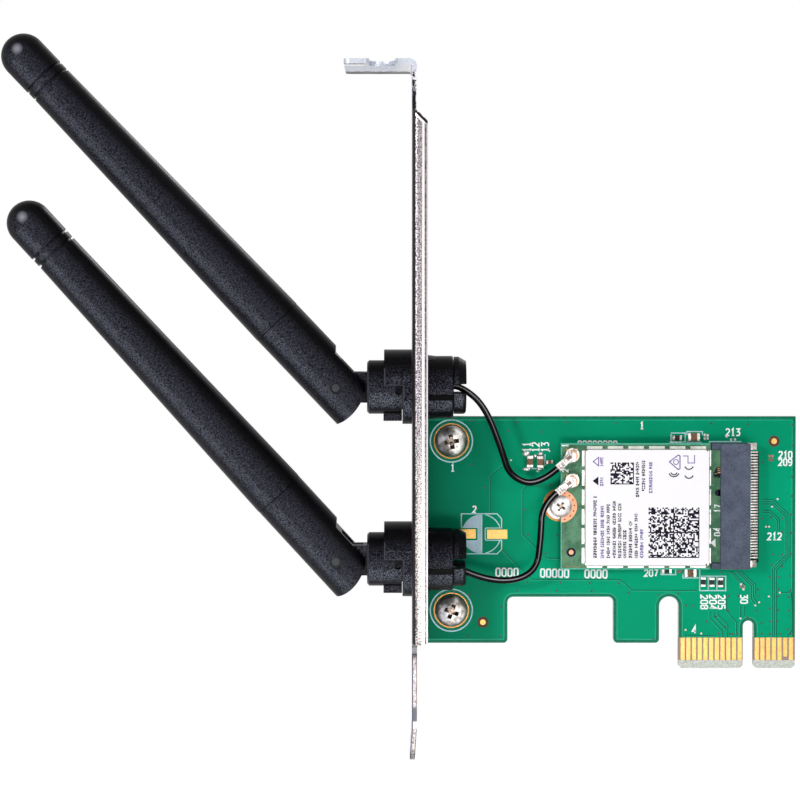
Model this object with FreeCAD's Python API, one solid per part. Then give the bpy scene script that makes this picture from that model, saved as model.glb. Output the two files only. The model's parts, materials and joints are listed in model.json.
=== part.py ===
import FreeCAD, Part
import math
import os

# Wireless network card with two folding antennas, in millimetres.
# +X runs from the bracket to the free end of the board and +Z up along the bracket.
# The component side of the board faces -Y. The origin is the middle of the key notch
# of the edge connector, at the board's lower edge and half way through its thickness.

Vec = FreeCAD.Vector
ORIGIN = Vec(0, 0, 0)
X_AXIS = Vec(1, 0, 0)
Y_AXIS = Vec(0, 1, 0)

# Main board outline
board_thickness = 1.57
board_above_screw = 4.3
board_shoulder_z = 4.5
board_bracket_gap = 0.6
middle_tab_width = 8.0
wide_notch_width = 18.6
wide_notch_top_z = 12.6
wide_notch_corner_radius = 1.0
board_foot_radius = 0.7
hook_notch_width = 3.45
hook_notch_top_z = 12.65

# Edge connector
contact_pitch = 1.0
contact_width = 0.7
contact_thickness = 0.05
contact_top_z = 5.4
contact_bottom_z = 1.5
short_contact_bottom_z = 2.1
contacts_right_of_key = 7
contacts_left_of_key = 11
key_notch_width = 1.9
key_notch_top_z = 8.4
key_to_first_contact = 0.55
contact_to_board_edge = 0.35
edge_bevel_height = 1.2
edge_bevel_depth = 0.35
edge_corner_chamfer = 0.5

# Bracket, bent from sheet
sheet_thickness = 0.86
bracket_inner_x = -58.19
bracket_width = 18.42
bracket_near_y = -15.35
tab_top_z = 105.3
tab_reach = 11.55
tab_bend_inner_radius = 0.54
tab_corner_radius = 1.0
slot_radius = 2.21
slot_depth = 5.3
slot_from_tip = 6.5
slot_mouth_chamfer = 0.45
flange_reach = 1.79
flange_bend_inner_radius = 0.25
flange_top_z = 96.3
flange_bottom_z = 6.2
flange_end_chamfer = 1.5
flange_end_radius = 0.9
tongue_width = 10.19
tongue_tip_z = -14.4
tongue_shoulder_z = 3.9
tongue_shoulder_radius = 1.6
tongue_tip_radius = 2.2
tongue_bend_z = -8.4
tongue_lean = 0.4

# Lugs that carry the board
lug_height = 8.6
lug_reach = 9.6
lug_corner_radius = 1.6
lug_relief = 0.8

# Board screws
screw_from_bracket = 6.09
screw_below_antenna = 9.69
screw_thread_radius = 1.5
screw_clearance = 0.1
thread_clearance = 0.03
screw_head_radius = 2.75
screw_head_height = 2.2
screw_head_edge = 0.7
screw_tip_length = 1.4
recess_reach = 1.45
recess_floor_reach = 0.7
recess_width = 0.75
recess_depth = 1.4
upper_screw_turn = -9.0
lower_screw_turn = 21.0

# Antenna places and rest angles
lower_antenna_z = 19.92
antenna_spacing = 29.72
antenna_y = -6.45
upper_fold_angle = 46.5
lower_fold_angle = 47.7
upper_swivel_angle = 1.0
lower_swivel_angle = 3.0
running_clearance = 0.08
press_clearance = 0.02

# Antenna holder, fixed in the bracket
holder_flange_thickness = 1.62
holder_flange_radius = 6.48
holder_flange_half_width = 6.15
holder_flange_drop = 6.3
holder_shell_length = 3.16
holder_shell_lift = 0.45
holder_body_radius = 5.36
holder_body_length = 6.27
holder_key_flat = 4.95
holder_hole_clearance = 0.05
holder_groove_below_axis = 1.1
holder_groove_width = 1.05
holder_groove_depth = 0.65
holder_groove_stop = 0.25
snap_wedge_height = 0.4
snap_wedge_length = 3.3
snap_wedge_width = 5.0

# Swivel base, turning in the holder
collar_radius = 4.63
collar_face_to_flange = 6.08
collar_edge_chamfer = 0.35
collar_drain_radius = 0.6
collar_drain_inset = 0.65
collar_drain_drop = 0.55
stem_radius = 3.9
stop_lug_radius = 5.87
stop_lug_width = 2.2
stop_lug_length = 3.2
prong_gap = 0.12
prong_length = 2.07
upper_prong_radius = 5.24
lower_prong_radius = 4.65
prong_chamfer_length = 1.3
prong_chamfer_depth = 0.75
prong_corner_taper = 0.6
prong_slot_width = 1.75
prong_slot_drop = 0.15
prong_slot_length = 4.7
stem_bore_radius = 2.8
stem_bore_length = 7.3
lead_bore_radius = 0.65
tongue_plate_height = 5.25
tongue_plate_thickness = 3.4
tongue_coax_slot = 1.35
hinge_to_collar = 5.35

# Antenna sleeve with its fork
hinge_pin_radius = 0.75
pin_head_radius = 0.95
pin_head_depth = 0.3
sleeve_radius = 4.625
sleeve_offset = 0.3
sleeve_joint = 15.0
fork_nose = 5.2
fork_nose_radius = 8.8
fork_nose_centre_drop = 1.4
fork_nose_corner_radius = 1.6
fork_flat = 4.0
fork_step = 4.35
fork_gap_clearance = 0.15
fork_web_gap = 0.3
spigot_length = 5.0
spigot_clearance = 0.05

# Antenna cover
cover_joint_radius = 4.675
cover_end_radius = 3.825
cover_joint_chamfer = 0.15
cover_wall = 0.95
cover_groove_start = 71.1
cover_groove_width = 0.5
cover_groove_depth = 0.4
cover_rib_width = 1.1
cap_radius = 3.88
cap_tip = 81.95
cap_wall = 4.0

# Radiator inside the cover
radiator_radius = 2.3
radiator_wall = 0.25
radiator_seat_depth = 2.0
radiator_length = 26.0
radiator_end_wall = 0.5
coax_radius = 0.565
core_radius = 0.34
core_length = 21.0

# Coaxial leads: corners of their routes, each (x, y, z), chosen by hand
bend_share = 0.45
upper_lead_route = [
    (-65.4, -6.45, 49.64),
    (-49.9, -6.45, 49.64),
    (-46.5, -6.4, 45.1),
    (-43.8, -6.25, 39.3),
    (-41.9, -5.7, 33.75),
    (-37.3, -4.8, 32.6),
    (-33.73, -4.5, 35.44),
]
lower_lead_route = [
    (-65.4, -6.45, 19.92),
    (-53.5, -6.45, 19.92),
    (-44.7, -6.3, 15.5),
    (-37.9, -6.0, 17.35),
    (-36.5, -5.6, 23.65),
    (-37.0, -4.95, 28.3),
    (-33.87, -4.5, 31.18),
]

# Module socket
socket_left_x = -5.4
socket_right_x = -0.27
socket_centre_z = 28.75
socket_end_wall = 1.0
socket_height = 4.0
socket_ear_reach = 1.5
socket_ear_height = 3.3
socket_slot_clearance = 0.1
tail_to_tongue_edge = 0.5
tail_pitch = 0.5
tail_width = 0.22
tail_thickness = 0.15
tail_reach = 1.47
tail_rise = 0.6
front_tail_reach = 0.8
anchor_length = 1.6
anchor_width = 1.2
anchor_height = 0.7

# Wireless module
module_left_x = -33.14
module_length = 30.0
module_width = 22.0
module_thickness = 0.8
module_lift = 2.1
module_notch_radius = 1.75
module_tongue_width = 19.6
module_tongue_length = 3.9
module_key_width = 1.2
module_key_depth = 3.5
module_key_offset = 5.6
module_contact_length = 1.8
module_contact_width = 0.35
module_contact_thickness = 0.03
shield_left_x = -29.05
shield_right_x = -7.45
shield_bottom_z = 18.5
shield_top_z = 38.8
shield_height = 1.5
shield_wall = 0.2
shield_corner_radius = 0.6
shield_foot_width = 0.42
shield_foot_length = 2.7
shield_foot_thickness = 0.16
shield_feet_per_side = 6
label_margin = 0.1
label_thickness = 0.08
label_corner_radius = 0.7

# Module fastening
standoff_radius = 2.0
standoff_flange_radius = 2.5
standoff_flange_height = 0.4
standoff_shank_radius = 1.4
module_screw_radius = 1.0
module_screw_head_radius = 1.92
module_screw_head_height = 0.55
module_screw_head_edge = 0.2
module_recess_reach = 1.05
module_recess_depth = 0.4
module_recess_width = 0.5
module_screw_turn = 30.0

# Coaxial receptacles and plugs on the module
plug_x = -31.2
upper_plug_z = 37.8
lower_plug_z = 33.38
upper_plug_angle = 223.0
lower_plug_angle = 219.5
receptacle_size = 2.0
receptacle_base = 0.3
receptacle_barrel_radius = 0.85
receptacle_barrel_wall = 0.15
receptacle_barrel_height = 0.75
receptacle_pin_radius = 0.2
plug_radius = 1.2
plug_fit = 0.03
plug_base_gap = 0.05
plug_top = 1.5
plug_length = 3.46
plug_neck_half_width = 0.95
plug_crimp_half_width = 0.64
plug_crimp_start = 1.9
plug_axis_height = 0.815

# Chip parts: (x, z, length, width, height, turned)
chip_cap_share = 0.22
chip_cap_extra = 0.03
resistor_chips = [
    (-12.6, 40.55, 1.6, 0.8, 0.45, False),
    (-14.35, 17.2, 1.6, 0.8, 0.45, False),
    (-7.95, 15.25, 1.6, 0.8, 0.45, True),
    (-6.45, 15.2, 1.6, 0.8, 0.45, True),
    (-4.95, 15.15, 1.6, 0.8, 0.45, True),
]
capacitor_chips = [
    (-38.37, 36.39, 2.0, 1.0, 0.8, True),
    (-36.57, 36.3, 2.0, 1.0, 0.8, True),
    (-34.9, 36.3, 1.1, 0.55, 0.4, False),
    (-9.7, 40.7, 2.0, 1.25, 0.8, False),
    (-10.25, 16.85, 2.0, 1.25, 0.8, False),
]

# Places worked out from the sizes above
board_front_y = -board_thickness / 2
board_back_y = board_thickness / 2
board_left_x = bracket_inner_x + board_bracket_gap
first_contact_x = key_notch_width / 2 + key_to_first_contact
right_span = (contacts_right_of_key - 1) * contact_pitch
left_span = (contacts_left_of_key - 1) * contact_pitch
edge_margin = contact_width / 2 + contact_to_board_edge
board_right_x = first_contact_x + right_span + edge_margin
edge_left_x = -(first_contact_x + left_span + edge_margin)
middle_tab_right_x = edge_left_x - hook_notch_width
middle_tab_left_x = middle_tab_right_x - middle_tab_width
wide_notch_left_x = middle_tab_left_x - wide_notch_width
bracket_outer_x = bracket_inner_x - sheet_thickness
bracket_far_y = bracket_near_y + bracket_width
bracket_middle_y = bracket_near_y + bracket_width / 2
flange_end_x = bracket_inner_x + flange_reach
tab_end_x = bracket_outer_x - tab_reach
slot_x = tab_end_x + slot_from_tip
lug_back_y = board_back_y + sheet_thickness
screw_x = bracket_inner_x + screw_from_bracket
upper_antenna_z = lower_antenna_z + antenna_spacing
lower_screw_z = lower_antenna_z - screw_below_antenna
upper_screw_z = upper_antenna_z - screw_below_antenna
board_height = upper_screw_z + board_above_screw
holder_flange_x = bracket_outer_x - holder_flange_thickness
holder_end_x = bracket_inner_x + holder_body_length
collar_x = holder_flange_x - collar_face_to_flange
hinge_x = collar_x - hinge_to_collar
stem_end_x = holder_end_x + prong_gap + prong_length
module_back_y = board_front_y - module_lift
module_front_y = module_back_y - module_thickness
module_right_x = module_left_x + module_length
module_top_z = socket_centre_z + module_width / 2
module_bottom_z = socket_centre_z - module_width / 2
shield_front_y = module_front_y - shield_height
socket_length = module_tongue_width + 2 * (socket_slot_clearance + socket_end_wall)
tail_count = int((module_tongue_width - 2 * tail_to_tongue_edge) / tail_pitch) + 1
front_tail_count = tail_count - 1
plug_axis_y = module_front_y - plug_axis_height


def box(low, high):
    """Block between two opposite corners."""
    size = [high[axis] - low[axis] for axis in range(3)]
    return Part.makeBox(size[0], size[1], size[2], Vec(*low))


def rod(radius, start, end):
    """Round bar between two points."""
    along = Vec(*end) - Vec(*start)
    return Part.makeCylinder(radius, along.Length, Vec(*start), along)


def unit(a, b):
    length = math.hypot(a, b)
    return a / length, b / length


def rounded_corner(before, corner, after):
    """Points of one corner of an outline: itself, or start, middle and end of its arc."""
    a, b, radius = corner
    if radius == 0:
        return [(a, b)]
    back = unit(before[0] - a, before[1] - b)
    ahead = unit(after[0] - a, after[1] - b)
    half_angle = math.acos(back[0] * ahead[0] + back[1] * ahead[1]) / 2
    reach = radius / math.tan(half_angle)
    inward = unit(back[0] + ahead[0], back[1] + ahead[1])
    depth = radius / math.sin(half_angle) - radius
    start = (a + back[0] * reach, b + back[1] * reach)
    middle = (a + inward[0] * depth, b + inward[1] * depth)
    end = (a + ahead[0] * reach, b + ahead[1] * reach)
    return [start, middle, end]


def outline(corners, point):
    """Closed face of corners (a, b, radius), with point placing each (a, b) in space."""
    count = len(corners)
    turns = []
    for index in range(count):
        before = corners[index - 1]
        after = corners[(index + 1) % count]
        turns.append([point(*p) for p in rounded_corner(before, corners[index], after)])
    edges = []
    for index in range(count):
        turn = turns[index]
        if len(turn) == 3:
            edges.append(Part.Arc(turn[0], turn[1], turn[2]).toShape())
        following = turns[(index + 1) % count][0]
        if turn[-1].distanceToPoint(following) > 1e-6:
            edges.append(Part.LineSegment(turn[-1], following).toShape())
    return Part.Face(Part.Wire(edges))


def prism_y(corners, low, high):
    """Outline in X and Z, from one Y to another."""
    face = outline(corners, lambda a, b: Vec(a, low, b))
    return face.extrude(Vec(0, high - low, 0))


def prism_z(corners, low, high):
    """Outline in X and Y, from one Z to another."""
    face = outline(corners, lambda a, b: Vec(a, b, low))
    return face.extrude(Vec(0, 0, high - low))


def prism_x(corners, low, high):
    """Outline in Y and Z, from one X to another."""
    face = outline(corners, lambda a, b: Vec(low, a, b))
    return face.extrude(Vec(high - low, 0, 0))


def turned(corners, y, z):
    """Outline of (x, radius, corner radius) turned about a line along X."""
    face = outline(corners, lambda a, b: Vec(a, y, z + b))
    return face.revolve(Vec(0, y, z), X_AXIS, 360)


def square_corners(low, high, radius=0):
    """Corners of a rectangle between (a, b) low and high."""
    return [
        (low[0], low[1], radius),
        (high[0], low[1], radius),
        (high[0], high[1], radius),
        (low[0], high[1], radius),
    ]


def turned_about_axis(shape, angle, centre, axis):
    """Copy of a shape turned by degrees about an axis through a point."""
    copy = shape.copy()
    copy.rotate(centre, axis, angle)
    return copy


def save(name, shapes):
    """Write one sub-part, made of one solid or several that don't touch."""
    solids = [solid for shape in shapes for solid in shape.Solids]
    body = solids[0] if len(solids) == 1 else Part.makeCompound(solids)
    body.exportStep("parts/" + name + ".step")


def main_board():
    past = board_thickness
    front = board_front_y
    back = board_back_y
    hook_round_z = hook_notch_top_z - hook_notch_width / 2
    outline_corners = [
        (board_left_x, board_shoulder_z, 0),
        (wide_notch_left_x, board_shoulder_z, board_foot_radius),
        (wide_notch_left_x, wide_notch_top_z, wide_notch_corner_radius),
        (middle_tab_left_x, wide_notch_top_z, wide_notch_corner_radius),
        (middle_tab_left_x, board_shoulder_z, board_foot_radius),
        (middle_tab_right_x, board_shoulder_z, board_foot_radius),
        (middle_tab_right_x, hook_round_z, 0),
        (edge_left_x, hook_round_z, 0),
        (edge_left_x, 0, 0),
        (board_right_x, 0, 0),
        (board_right_x, board_height, 0),
        (board_left_x, board_height, 0),
    ]
    board = prism_y(outline_corners, front, back)
    hook_x = edge_left_x - hook_notch_width / 2
    key_round_z = key_notch_top_z - key_notch_width / 2
    key_notch = box(
        (-key_notch_width / 2, front - past, -past),
        (key_notch_width / 2, back + past, key_round_z),
    )
    board = board.cut(key_notch)
    for x, width, round_z in [
        (hook_x, hook_notch_width, hook_round_z),
        (0, key_notch_width, key_round_z),
    ]:
        board = board.cut(rod(width / 2, (x, front - past, round_z), (x, back + past, round_z)))
    for x, side in [
        (edge_left_x, 1),
        (-key_notch_width / 2, -1),
        (key_notch_width / 2, 1),
        (board_right_x, -1),
    ]:
        cut = edge_corner_chamfer
        corner = [(x, 0, 0), (x + side * cut, 0, 0), (x, cut, 0)]
        board = board.cut(prism_y(corner, front - past, back + past))
    for face_y, side in [(front, 1), (back, -1)]:
        bevel = Part.Face(Part.makePolygon([
            Vec(edge_left_x - past, face_y, 0),
            Vec(edge_left_x - past, face_y + side * edge_bevel_depth, 0),
            Vec(edge_left_x - past, face_y, edge_bevel_height),
            Vec(edge_left_x - past, face_y, 0),
        ]))
        board = board.cut(bevel.extrude(Vec(board_right_x - edge_left_x + 2 * past, 0, 0)))
    for z in [lower_screw_z, upper_screw_z]:
        radius = screw_thread_radius + screw_clearance
        board = board.cut(rod(radius, (screw_x, front - past, z), (screw_x, back + past, z)))
    hole = rod(
        standoff_shank_radius + press_clearance,
        (module_left_x, front - past, socket_centre_z),
        (module_left_x, back + past, socket_centre_z),
    )
    return board.cut(hole)


def edge_contacts():
    """Plated contacts on both faces of the edge connector."""
    places = []
    for index in range(contacts_right_of_key):
        short = index == contacts_right_of_key - 2
        places.append((first_contact_x + index * contact_pitch, short))
    for index in range(contacts_left_of_key):
        places.append((-first_contact_x - index * contact_pitch, False))
    pads = []
    for x, short in places:
        bottom = short_contact_bottom_z if short else contact_bottom_z
        for face_y, side in [(board_front_y, -1), (board_back_y, 1)]:
            outer_y = face_y + side * contact_thickness
            low = (x - contact_width / 2, min(face_y, outer_y), bottom)
            high = (x + contact_width / 2, max(face_y, outer_y), contact_top_z)
            pads.append(box(low, high))
    return pads


def bracket_sheet():
    """Flat part, tongue and top tab, from a side view and a front view."""
    outer = bracket_outer_x
    inner = bracket_inner_x
    side_view = [
        (outer - tongue_lean, tongue_tip_z, 0),
        (inner - tongue_lean, tongue_tip_z, 0),
        (inner, tongue_bend_z, 0),
        (inner, tab_top_z, tab_bend_inner_radius + sheet_thickness),
        (tab_end_x, tab_top_z, 0),
        (tab_end_x, tab_top_z - sheet_thickness, 0),
        (outer, tab_top_z - sheet_thickness, tab_bend_inner_radius),
        (outer, tongue_bend_z, 0),
    ]
    side = prism_y(side_view, bracket_near_y, bracket_far_y)
    tongue_near_y = bracket_middle_y - tongue_width / 2
    tongue_far_y = bracket_middle_y + tongue_width / 2
    front_view = [
        (bracket_near_y, tab_top_z + 1, 0),
        (bracket_near_y, flange_bottom_z, tongue_shoulder_radius),
        (tongue_near_y, tongue_shoulder_z, tongue_shoulder_radius),
        (tongue_near_y, tongue_tip_z, tongue_tip_radius),
        (tongue_far_y, tongue_tip_z, tongue_tip_radius),
        (tongue_far_y, tongue_shoulder_z, tongue_shoulder_radius),
        (bracket_far_y, flange_bottom_z, tongue_shoulder_radius),
        (bracket_far_y, tab_top_z + 1, 0),
    ]
    front = prism_x(front_view, tab_end_x - 1, bracket_inner_x + 1)
    return side.common(front)


def bracket_channel():
    """Stretch of the bracket with both side flanges, bent inward."""
    bend = flange_bend_inner_radius + sheet_thickness
    near = bracket_near_y
    far = bracket_far_y
    section = [
        (flange_end_x, near, 0),
        (flange_end_x, near + sheet_thickness, 0),
        (bracket_inner_x, near + sheet_thickness, flange_bend_inner_radius),
        (bracket_inner_x, far - sheet_thickness, flange_bend_inner_radius),
        (flange_end_x, far - sheet_thickness, 0),
        (flange_end_x, far, 0),
        (bracket_outer_x, far, bend),
        (bracket_outer_x, near, bend),
    ]
    channel = prism_z(section, flange_bottom_z, flange_top_z)
    ends = [
        (bracket_outer_x - 1, flange_bottom_z, 0),
        (flange_end_x, flange_bottom_z, flange_end_radius),
        (flange_end_x, flange_top_z - flange_end_chamfer, 0),
        (flange_end_x - flange_end_chamfer, flange_top_z, 0),
        (bracket_outer_x - 1, flange_top_z, 0),
    ]
    return channel.common(prism_y(ends, near - 1, far + 1))


def board_lug(z):
    """Ear bent off the far edge of the bracket, with the board seated on its front."""
    bend = flange_bend_inner_radius + sheet_thickness
    section = [
        (bracket_outer_x, board_front_y, 0),
        (bracket_inner_x, board_front_y, 0),
        (bracket_inner_x, board_back_y, flange_bend_inner_radius),
        (bracket_inner_x + lug_reach, board_back_y, 0),
        (bracket_inner_x + lug_reach, lug_back_y, 0),
        (bracket_outer_x, lug_back_y, bend),
    ]
    low = z - lug_height / 2
    high = z + lug_height / 2
    lug = prism_z(section, low, high)
    ear = [
        (bracket_outer_x - 1, low, 0),
        (bracket_inner_x + lug_reach, low, lug_corner_radius),
        (bracket_inner_x + lug_reach, high, lug_corner_radius),
        (bracket_outer_x - 1, high, 0),
    ]
    lug = lug.common(prism_y(ear, board_front_y - 1, lug_back_y + 1))
    hole_radius = screw_thread_radius + thread_clearance
    return lug.cut(rod(hole_radius, (screw_x, 0, z), (screw_x, lug_back_y + 1, z)))


def tab_slot():
    """Open slot for the case screw, in the near edge of the top tab."""
    low = tab_top_z - 2 * sheet_thickness
    high = tab_top_z + sheet_thickness
    end_y = bracket_near_y + slot_depth - slot_radius
    mouth = slot_radius + slot_mouth_chamfer
    opening = [
        (slot_x - mouth, bracket_near_y - 1, 0),
        (slot_x + mouth, bracket_near_y - 1, 0),
        (slot_x + mouth, bracket_near_y, 0),
        (slot_x + slot_radius, bracket_near_y + slot_mouth_chamfer, 0),
        (slot_x + slot_radius, end_y, 0),
        (slot_x - slot_radius, end_y, 0),
        (slot_x - slot_radius, bracket_near_y + slot_mouth_chamfer, 0),
        (slot_x - mouth, bracket_near_y, 0),
    ]
    slot = prism_z(opening, low, high)
    return slot.fuse(rod(slot_radius, (slot_x, end_y, low), (slot_x, end_y, high)))


def holder_section(radius, flat, low, high, z):
    """Round bar along X with a flat on its near and far side."""
    bar = rod(radius, (low, antenna_y, z), (high, antenna_y, z))
    flats = box((low, antenna_y - flat, z - radius), (high, antenna_y + flat, z + radius))
    return bar.common(flats)


def bracket():
    plate = bracket_sheet()
    band_low = (bracket_outer_x - 1, bracket_near_y - 1, flange_bottom_z)
    band_high = (bracket_inner_x + 1, bracket_far_y + 1, flange_top_z)
    plate = plate.cut(box(band_low, band_high)).fuse(bracket_channel())
    for z in [lower_screw_z, upper_screw_z]:
        half = lug_height / 2 + lug_relief
        window = box(
            (bracket_outer_x - 1, board_front_y, z - half),
            (flange_end_x + 1, bracket_far_y + 1, z + half),
        )
        plate = plate.cut(window).fuse(board_lug(z))
    for z in [lower_antenna_z, upper_antenna_z]:
        radius = holder_body_radius + holder_hole_clearance
        flat = holder_key_flat + holder_hole_clearance
        low = bracket_outer_x - 1
        high = bracket_inner_x + 1
        plate = plate.cut(holder_section(radius, flat, low, high, z))
    corner = tab_corner_radius
    tab_view = [
        (tab_end_x, bracket_near_y, corner),
        (flange_end_x + lug_reach, bracket_near_y, 0),
        (flange_end_x + lug_reach, bracket_far_y, 0),
        (tab_end_x, bracket_far_y, corner),
    ]
    plate = plate.common(prism_z(tab_view, tongue_tip_z, tab_top_z))
    return plate.cut(tab_slot()).removeSplitter()


def cross_recess(reach, floor_reach, width, depth, top_y):
    """Tapered cross of a screw recess around the Y axis, open at top_y."""
    wing = [
        (-reach, top_y - 1, 0),
        (reach, top_y - 1, 0),
        (reach, top_y, 0),
        (floor_reach, top_y + depth, 0),
        (-floor_reach, top_y + depth, 0),
        (-reach, top_y, 0),
    ]
    first = prism_z(wing, -width / 2, width / 2)
    return first.fuse(turned_about_axis(first, 90, ORIGIN, Y_AXIS))


def pan_screw(head_radius, head_height, head_edge, shank_radius, shank_length, recess):
    """Screw along Y with its head towards -Y and the head's seat at the origin."""
    rise = head_height - head_edge
    dome_radius = (head_radius ** 2 + rise ** 2) / (2 * rise)
    head = Part.makeCylinder(head_radius, head_height, ORIGIN, -Y_AXIS)
    dome_centre = Vec(0, dome_radius - head_height, 0)
    head = head.common(Part.makeSphere(dome_radius, dome_centre))
    shank = Part.makeCylinder(shank_radius, shank_length, ORIGIN, Y_AXIS)
    return head.fuse(shank).cut(recess).removeSplitter()


def board_screw(z, turn):
    length = board_thickness + sheet_thickness + screw_tip_length
    top = -screw_head_height
    recess = cross_recess(recess_reach, recess_floor_reach, recess_width, recess_depth, top)
    screw = pan_screw(screw_head_radius, screw_head_height, screw_head_edge,
                      screw_thread_radius, length, recess)
    screw.rotate(ORIGIN, Y_AXIS, turn)
    screw.translate(Vec(screw_x, board_front_y, z))
    return screw


def antenna_holder(z):
    """Fixed plastic bush: flange and half shell outside, snap body through the bracket."""
    front_x = holder_flange_x - holder_shell_length
    ring = rod(holder_flange_radius, (front_x, antenna_y, z), (bracket_outer_x, antenna_y, z))
    half_width = holder_flange_half_width
    face = box(
        (front_x, antenna_y - half_width, z - holder_flange_drop),
        (bracket_outer_x, antenna_y + half_width, z + holder_flange_radius),
    )
    ring = ring.common(face)
    below = box(
        (front_x, antenna_y - holder_flange_radius, z - holder_flange_radius),
        (holder_flange_x, antenna_y + holder_flange_radius, z + holder_shell_lift),
    )
    shell_bore = rod(
        collar_radius + 1.5 * running_clearance,
        (front_x, antenna_y, z),
        (holder_flange_x, antenna_y, z),
    )
    ring = ring.cut(below).cut(shell_bore)
    neck = holder_section(holder_body_radius, holder_key_flat, bracket_outer_x, bracket_inner_x, z)
    body = turned([
        (bracket_inner_x, 0, 0),
        (bracket_inner_x, holder_body_radius, 0),
        (holder_end_x, holder_body_radius, 0.3),
        (holder_end_x, 0, 0),
    ], antenna_y, z)
    wedge = turned([
        (bracket_inner_x, 0, 0),
        (bracket_inner_x, holder_body_radius + snap_wedge_height, 0),
        (bracket_inner_x + snap_wedge_length, holder_body_radius, 0),
        (bracket_inner_x + snap_wedge_length, 0, 0),
    ], antenna_y, z)
    wedge_band = box(
        (bracket_inner_x, antenna_y - snap_wedge_width / 2, z - 2 * holder_body_radius),
        (holder_end_x, antenna_y + snap_wedge_width / 2, z + 2 * holder_body_radius),
    )
    holder = ring.fuse(neck).fuse(body).fuse(wedge.common(wedge_band))
    groove_top_z = z - holder_groove_below_axis
    groove = box(
        (bracket_inner_x, antenna_y - 2 * holder_body_radius, groove_top_z - holder_groove_width),
        (
            holder_end_x - holder_groove_stop,
            antenna_y - holder_body_radius + holder_groove_depth,
            groove_top_z,
        ),
    )
    holder = holder.cut(groove)
    bore = rod(
        stem_radius + running_clearance,
        (front_x, antenna_y, z),
        (holder_end_x + 1, antenna_y, z),
    )
    return holder.cut(bore).removeSplitter()


def swivel_prongs(z):
    """Two snap prongs at the end of the stem, wider above than below."""
    low = holder_end_x + prong_gap
    chamfer_x = stem_end_x - prong_chamfer_length
    upper = turned([
        (low, 0, 0),
        (low, upper_prong_radius, 0),
        (chamfer_x, upper_prong_radius, 0),
        (stem_end_x, upper_prong_radius - prong_chamfer_depth, 0),
        (stem_end_x, 0, 0),
    ], antenna_y, z)
    lower = turned([
        (low, 0, 0),
        (low, lower_prong_radius, 0),
        (stem_end_x, lower_prong_radius, prong_corner_taper),
        (stem_end_x, 0, 0),
    ], antenna_y, z)
    reach = 2 * upper_prong_radius
    above = box((low, antenna_y - reach, z), (stem_end_x, antenna_y + reach, z + reach))
    below = box((low, antenna_y - reach, z - reach), (stem_end_x, antenna_y + reach, z))
    return upper.common(above).fuse(lower.common(below))


def swivel_base(z, swivel_angle):
    """Turning base: collar with stop lug, split stem behind it, hinge tongue before it."""
    inner_x = holder_flange_x - running_clearance
    chamfer = collar_edge_chamfer
    collar = turned([
        (collar_x, 0, 0),
        (collar_x, collar_radius - chamfer, 0),
        (collar_x + chamfer, collar_radius, 0),
        (inner_x, collar_radius, 0),
        (inner_x, 0, 0),
    ], antenna_y, z)
    stem = rod(stem_radius, (inner_x, antenna_y, z), (stem_end_x, antenna_y, z))
    half_lug = stop_lug_width / 2
    lug = box(
        (inner_x - stop_lug_length, antenna_y - half_lug, z - 2 * stop_lug_radius),
        (inner_x, antenna_y + half_lug, z),
    )
    lug_ring = rod(stop_lug_radius, (collar_x, antenna_y, z), (inner_x, antenna_y, z))
    half_plate = tongue_plate_thickness / 2
    half_height = tongue_plate_height / 2
    plate = box(
        (hinge_x, antenna_y - half_plate, z - half_height),
        (collar_x, antenna_y + half_plate, z + half_height),
    )
    eye = rod(half_height, (hinge_x, antenna_y - half_plate, z), (hinge_x, antenna_y + half_plate, z))
    base = collar.fuse(stem).fuse(swivel_prongs(z)).fuse(lug.common(lug_ring))
    base = base.fuse(plate).fuse(eye)
    slot_half = prong_slot_width / 2
    slot_z = z - prong_slot_drop
    slot = box(
        (stem_end_x - prong_slot_length, antenna_y - 2 * stem_radius, slot_z - slot_half),
        (stem_end_x + 1, antenna_y + 2 * stem_radius, slot_z + slot_half),
    )
    wide_bore = rod(
        stem_bore_radius,
        (stem_end_x - stem_bore_length, antenna_y, z),
        (stem_end_x + 1, antenna_y, z),
    )
    lead_bore = rod(lead_bore_radius, (hinge_x, antenna_y, z), (stem_end_x, antenna_y, z))
    half_coax = tongue_coax_slot / 2
    coax_slot = box(
        (hinge_x - tongue_plate_height, antenna_y - half_coax, z - half_height - 1),
        (collar_x - tongue_coax_slot / 2, antenna_y + half_coax, z + half_height + 1),
    )
    pin_radius = hinge_pin_radius + running_clearance
    pin_hole = rod(
        pin_radius,
        (hinge_x, antenna_y - half_plate - 1, z),
        (hinge_x, antenna_y + half_plate + 1, z),
    )
    drain_x = inner_x - collar_drain_inset
    drain_z = z - collar_drain_drop
    drain = rod(
        collar_drain_radius,
        (drain_x, antenna_y - collar_radius - 1, drain_z),
        (drain_x, antenna_y - collar_radius + 1, drain_z),
    )
    for tool in [slot, wide_bore, lead_bore, coax_slot, pin_hole, drain]:
        base = base.cut(tool)
    base = base.removeSplitter()
    return turned_about_axis(base, swivel_angle, Vec(0, antenna_y, z), X_AXIS)


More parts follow.
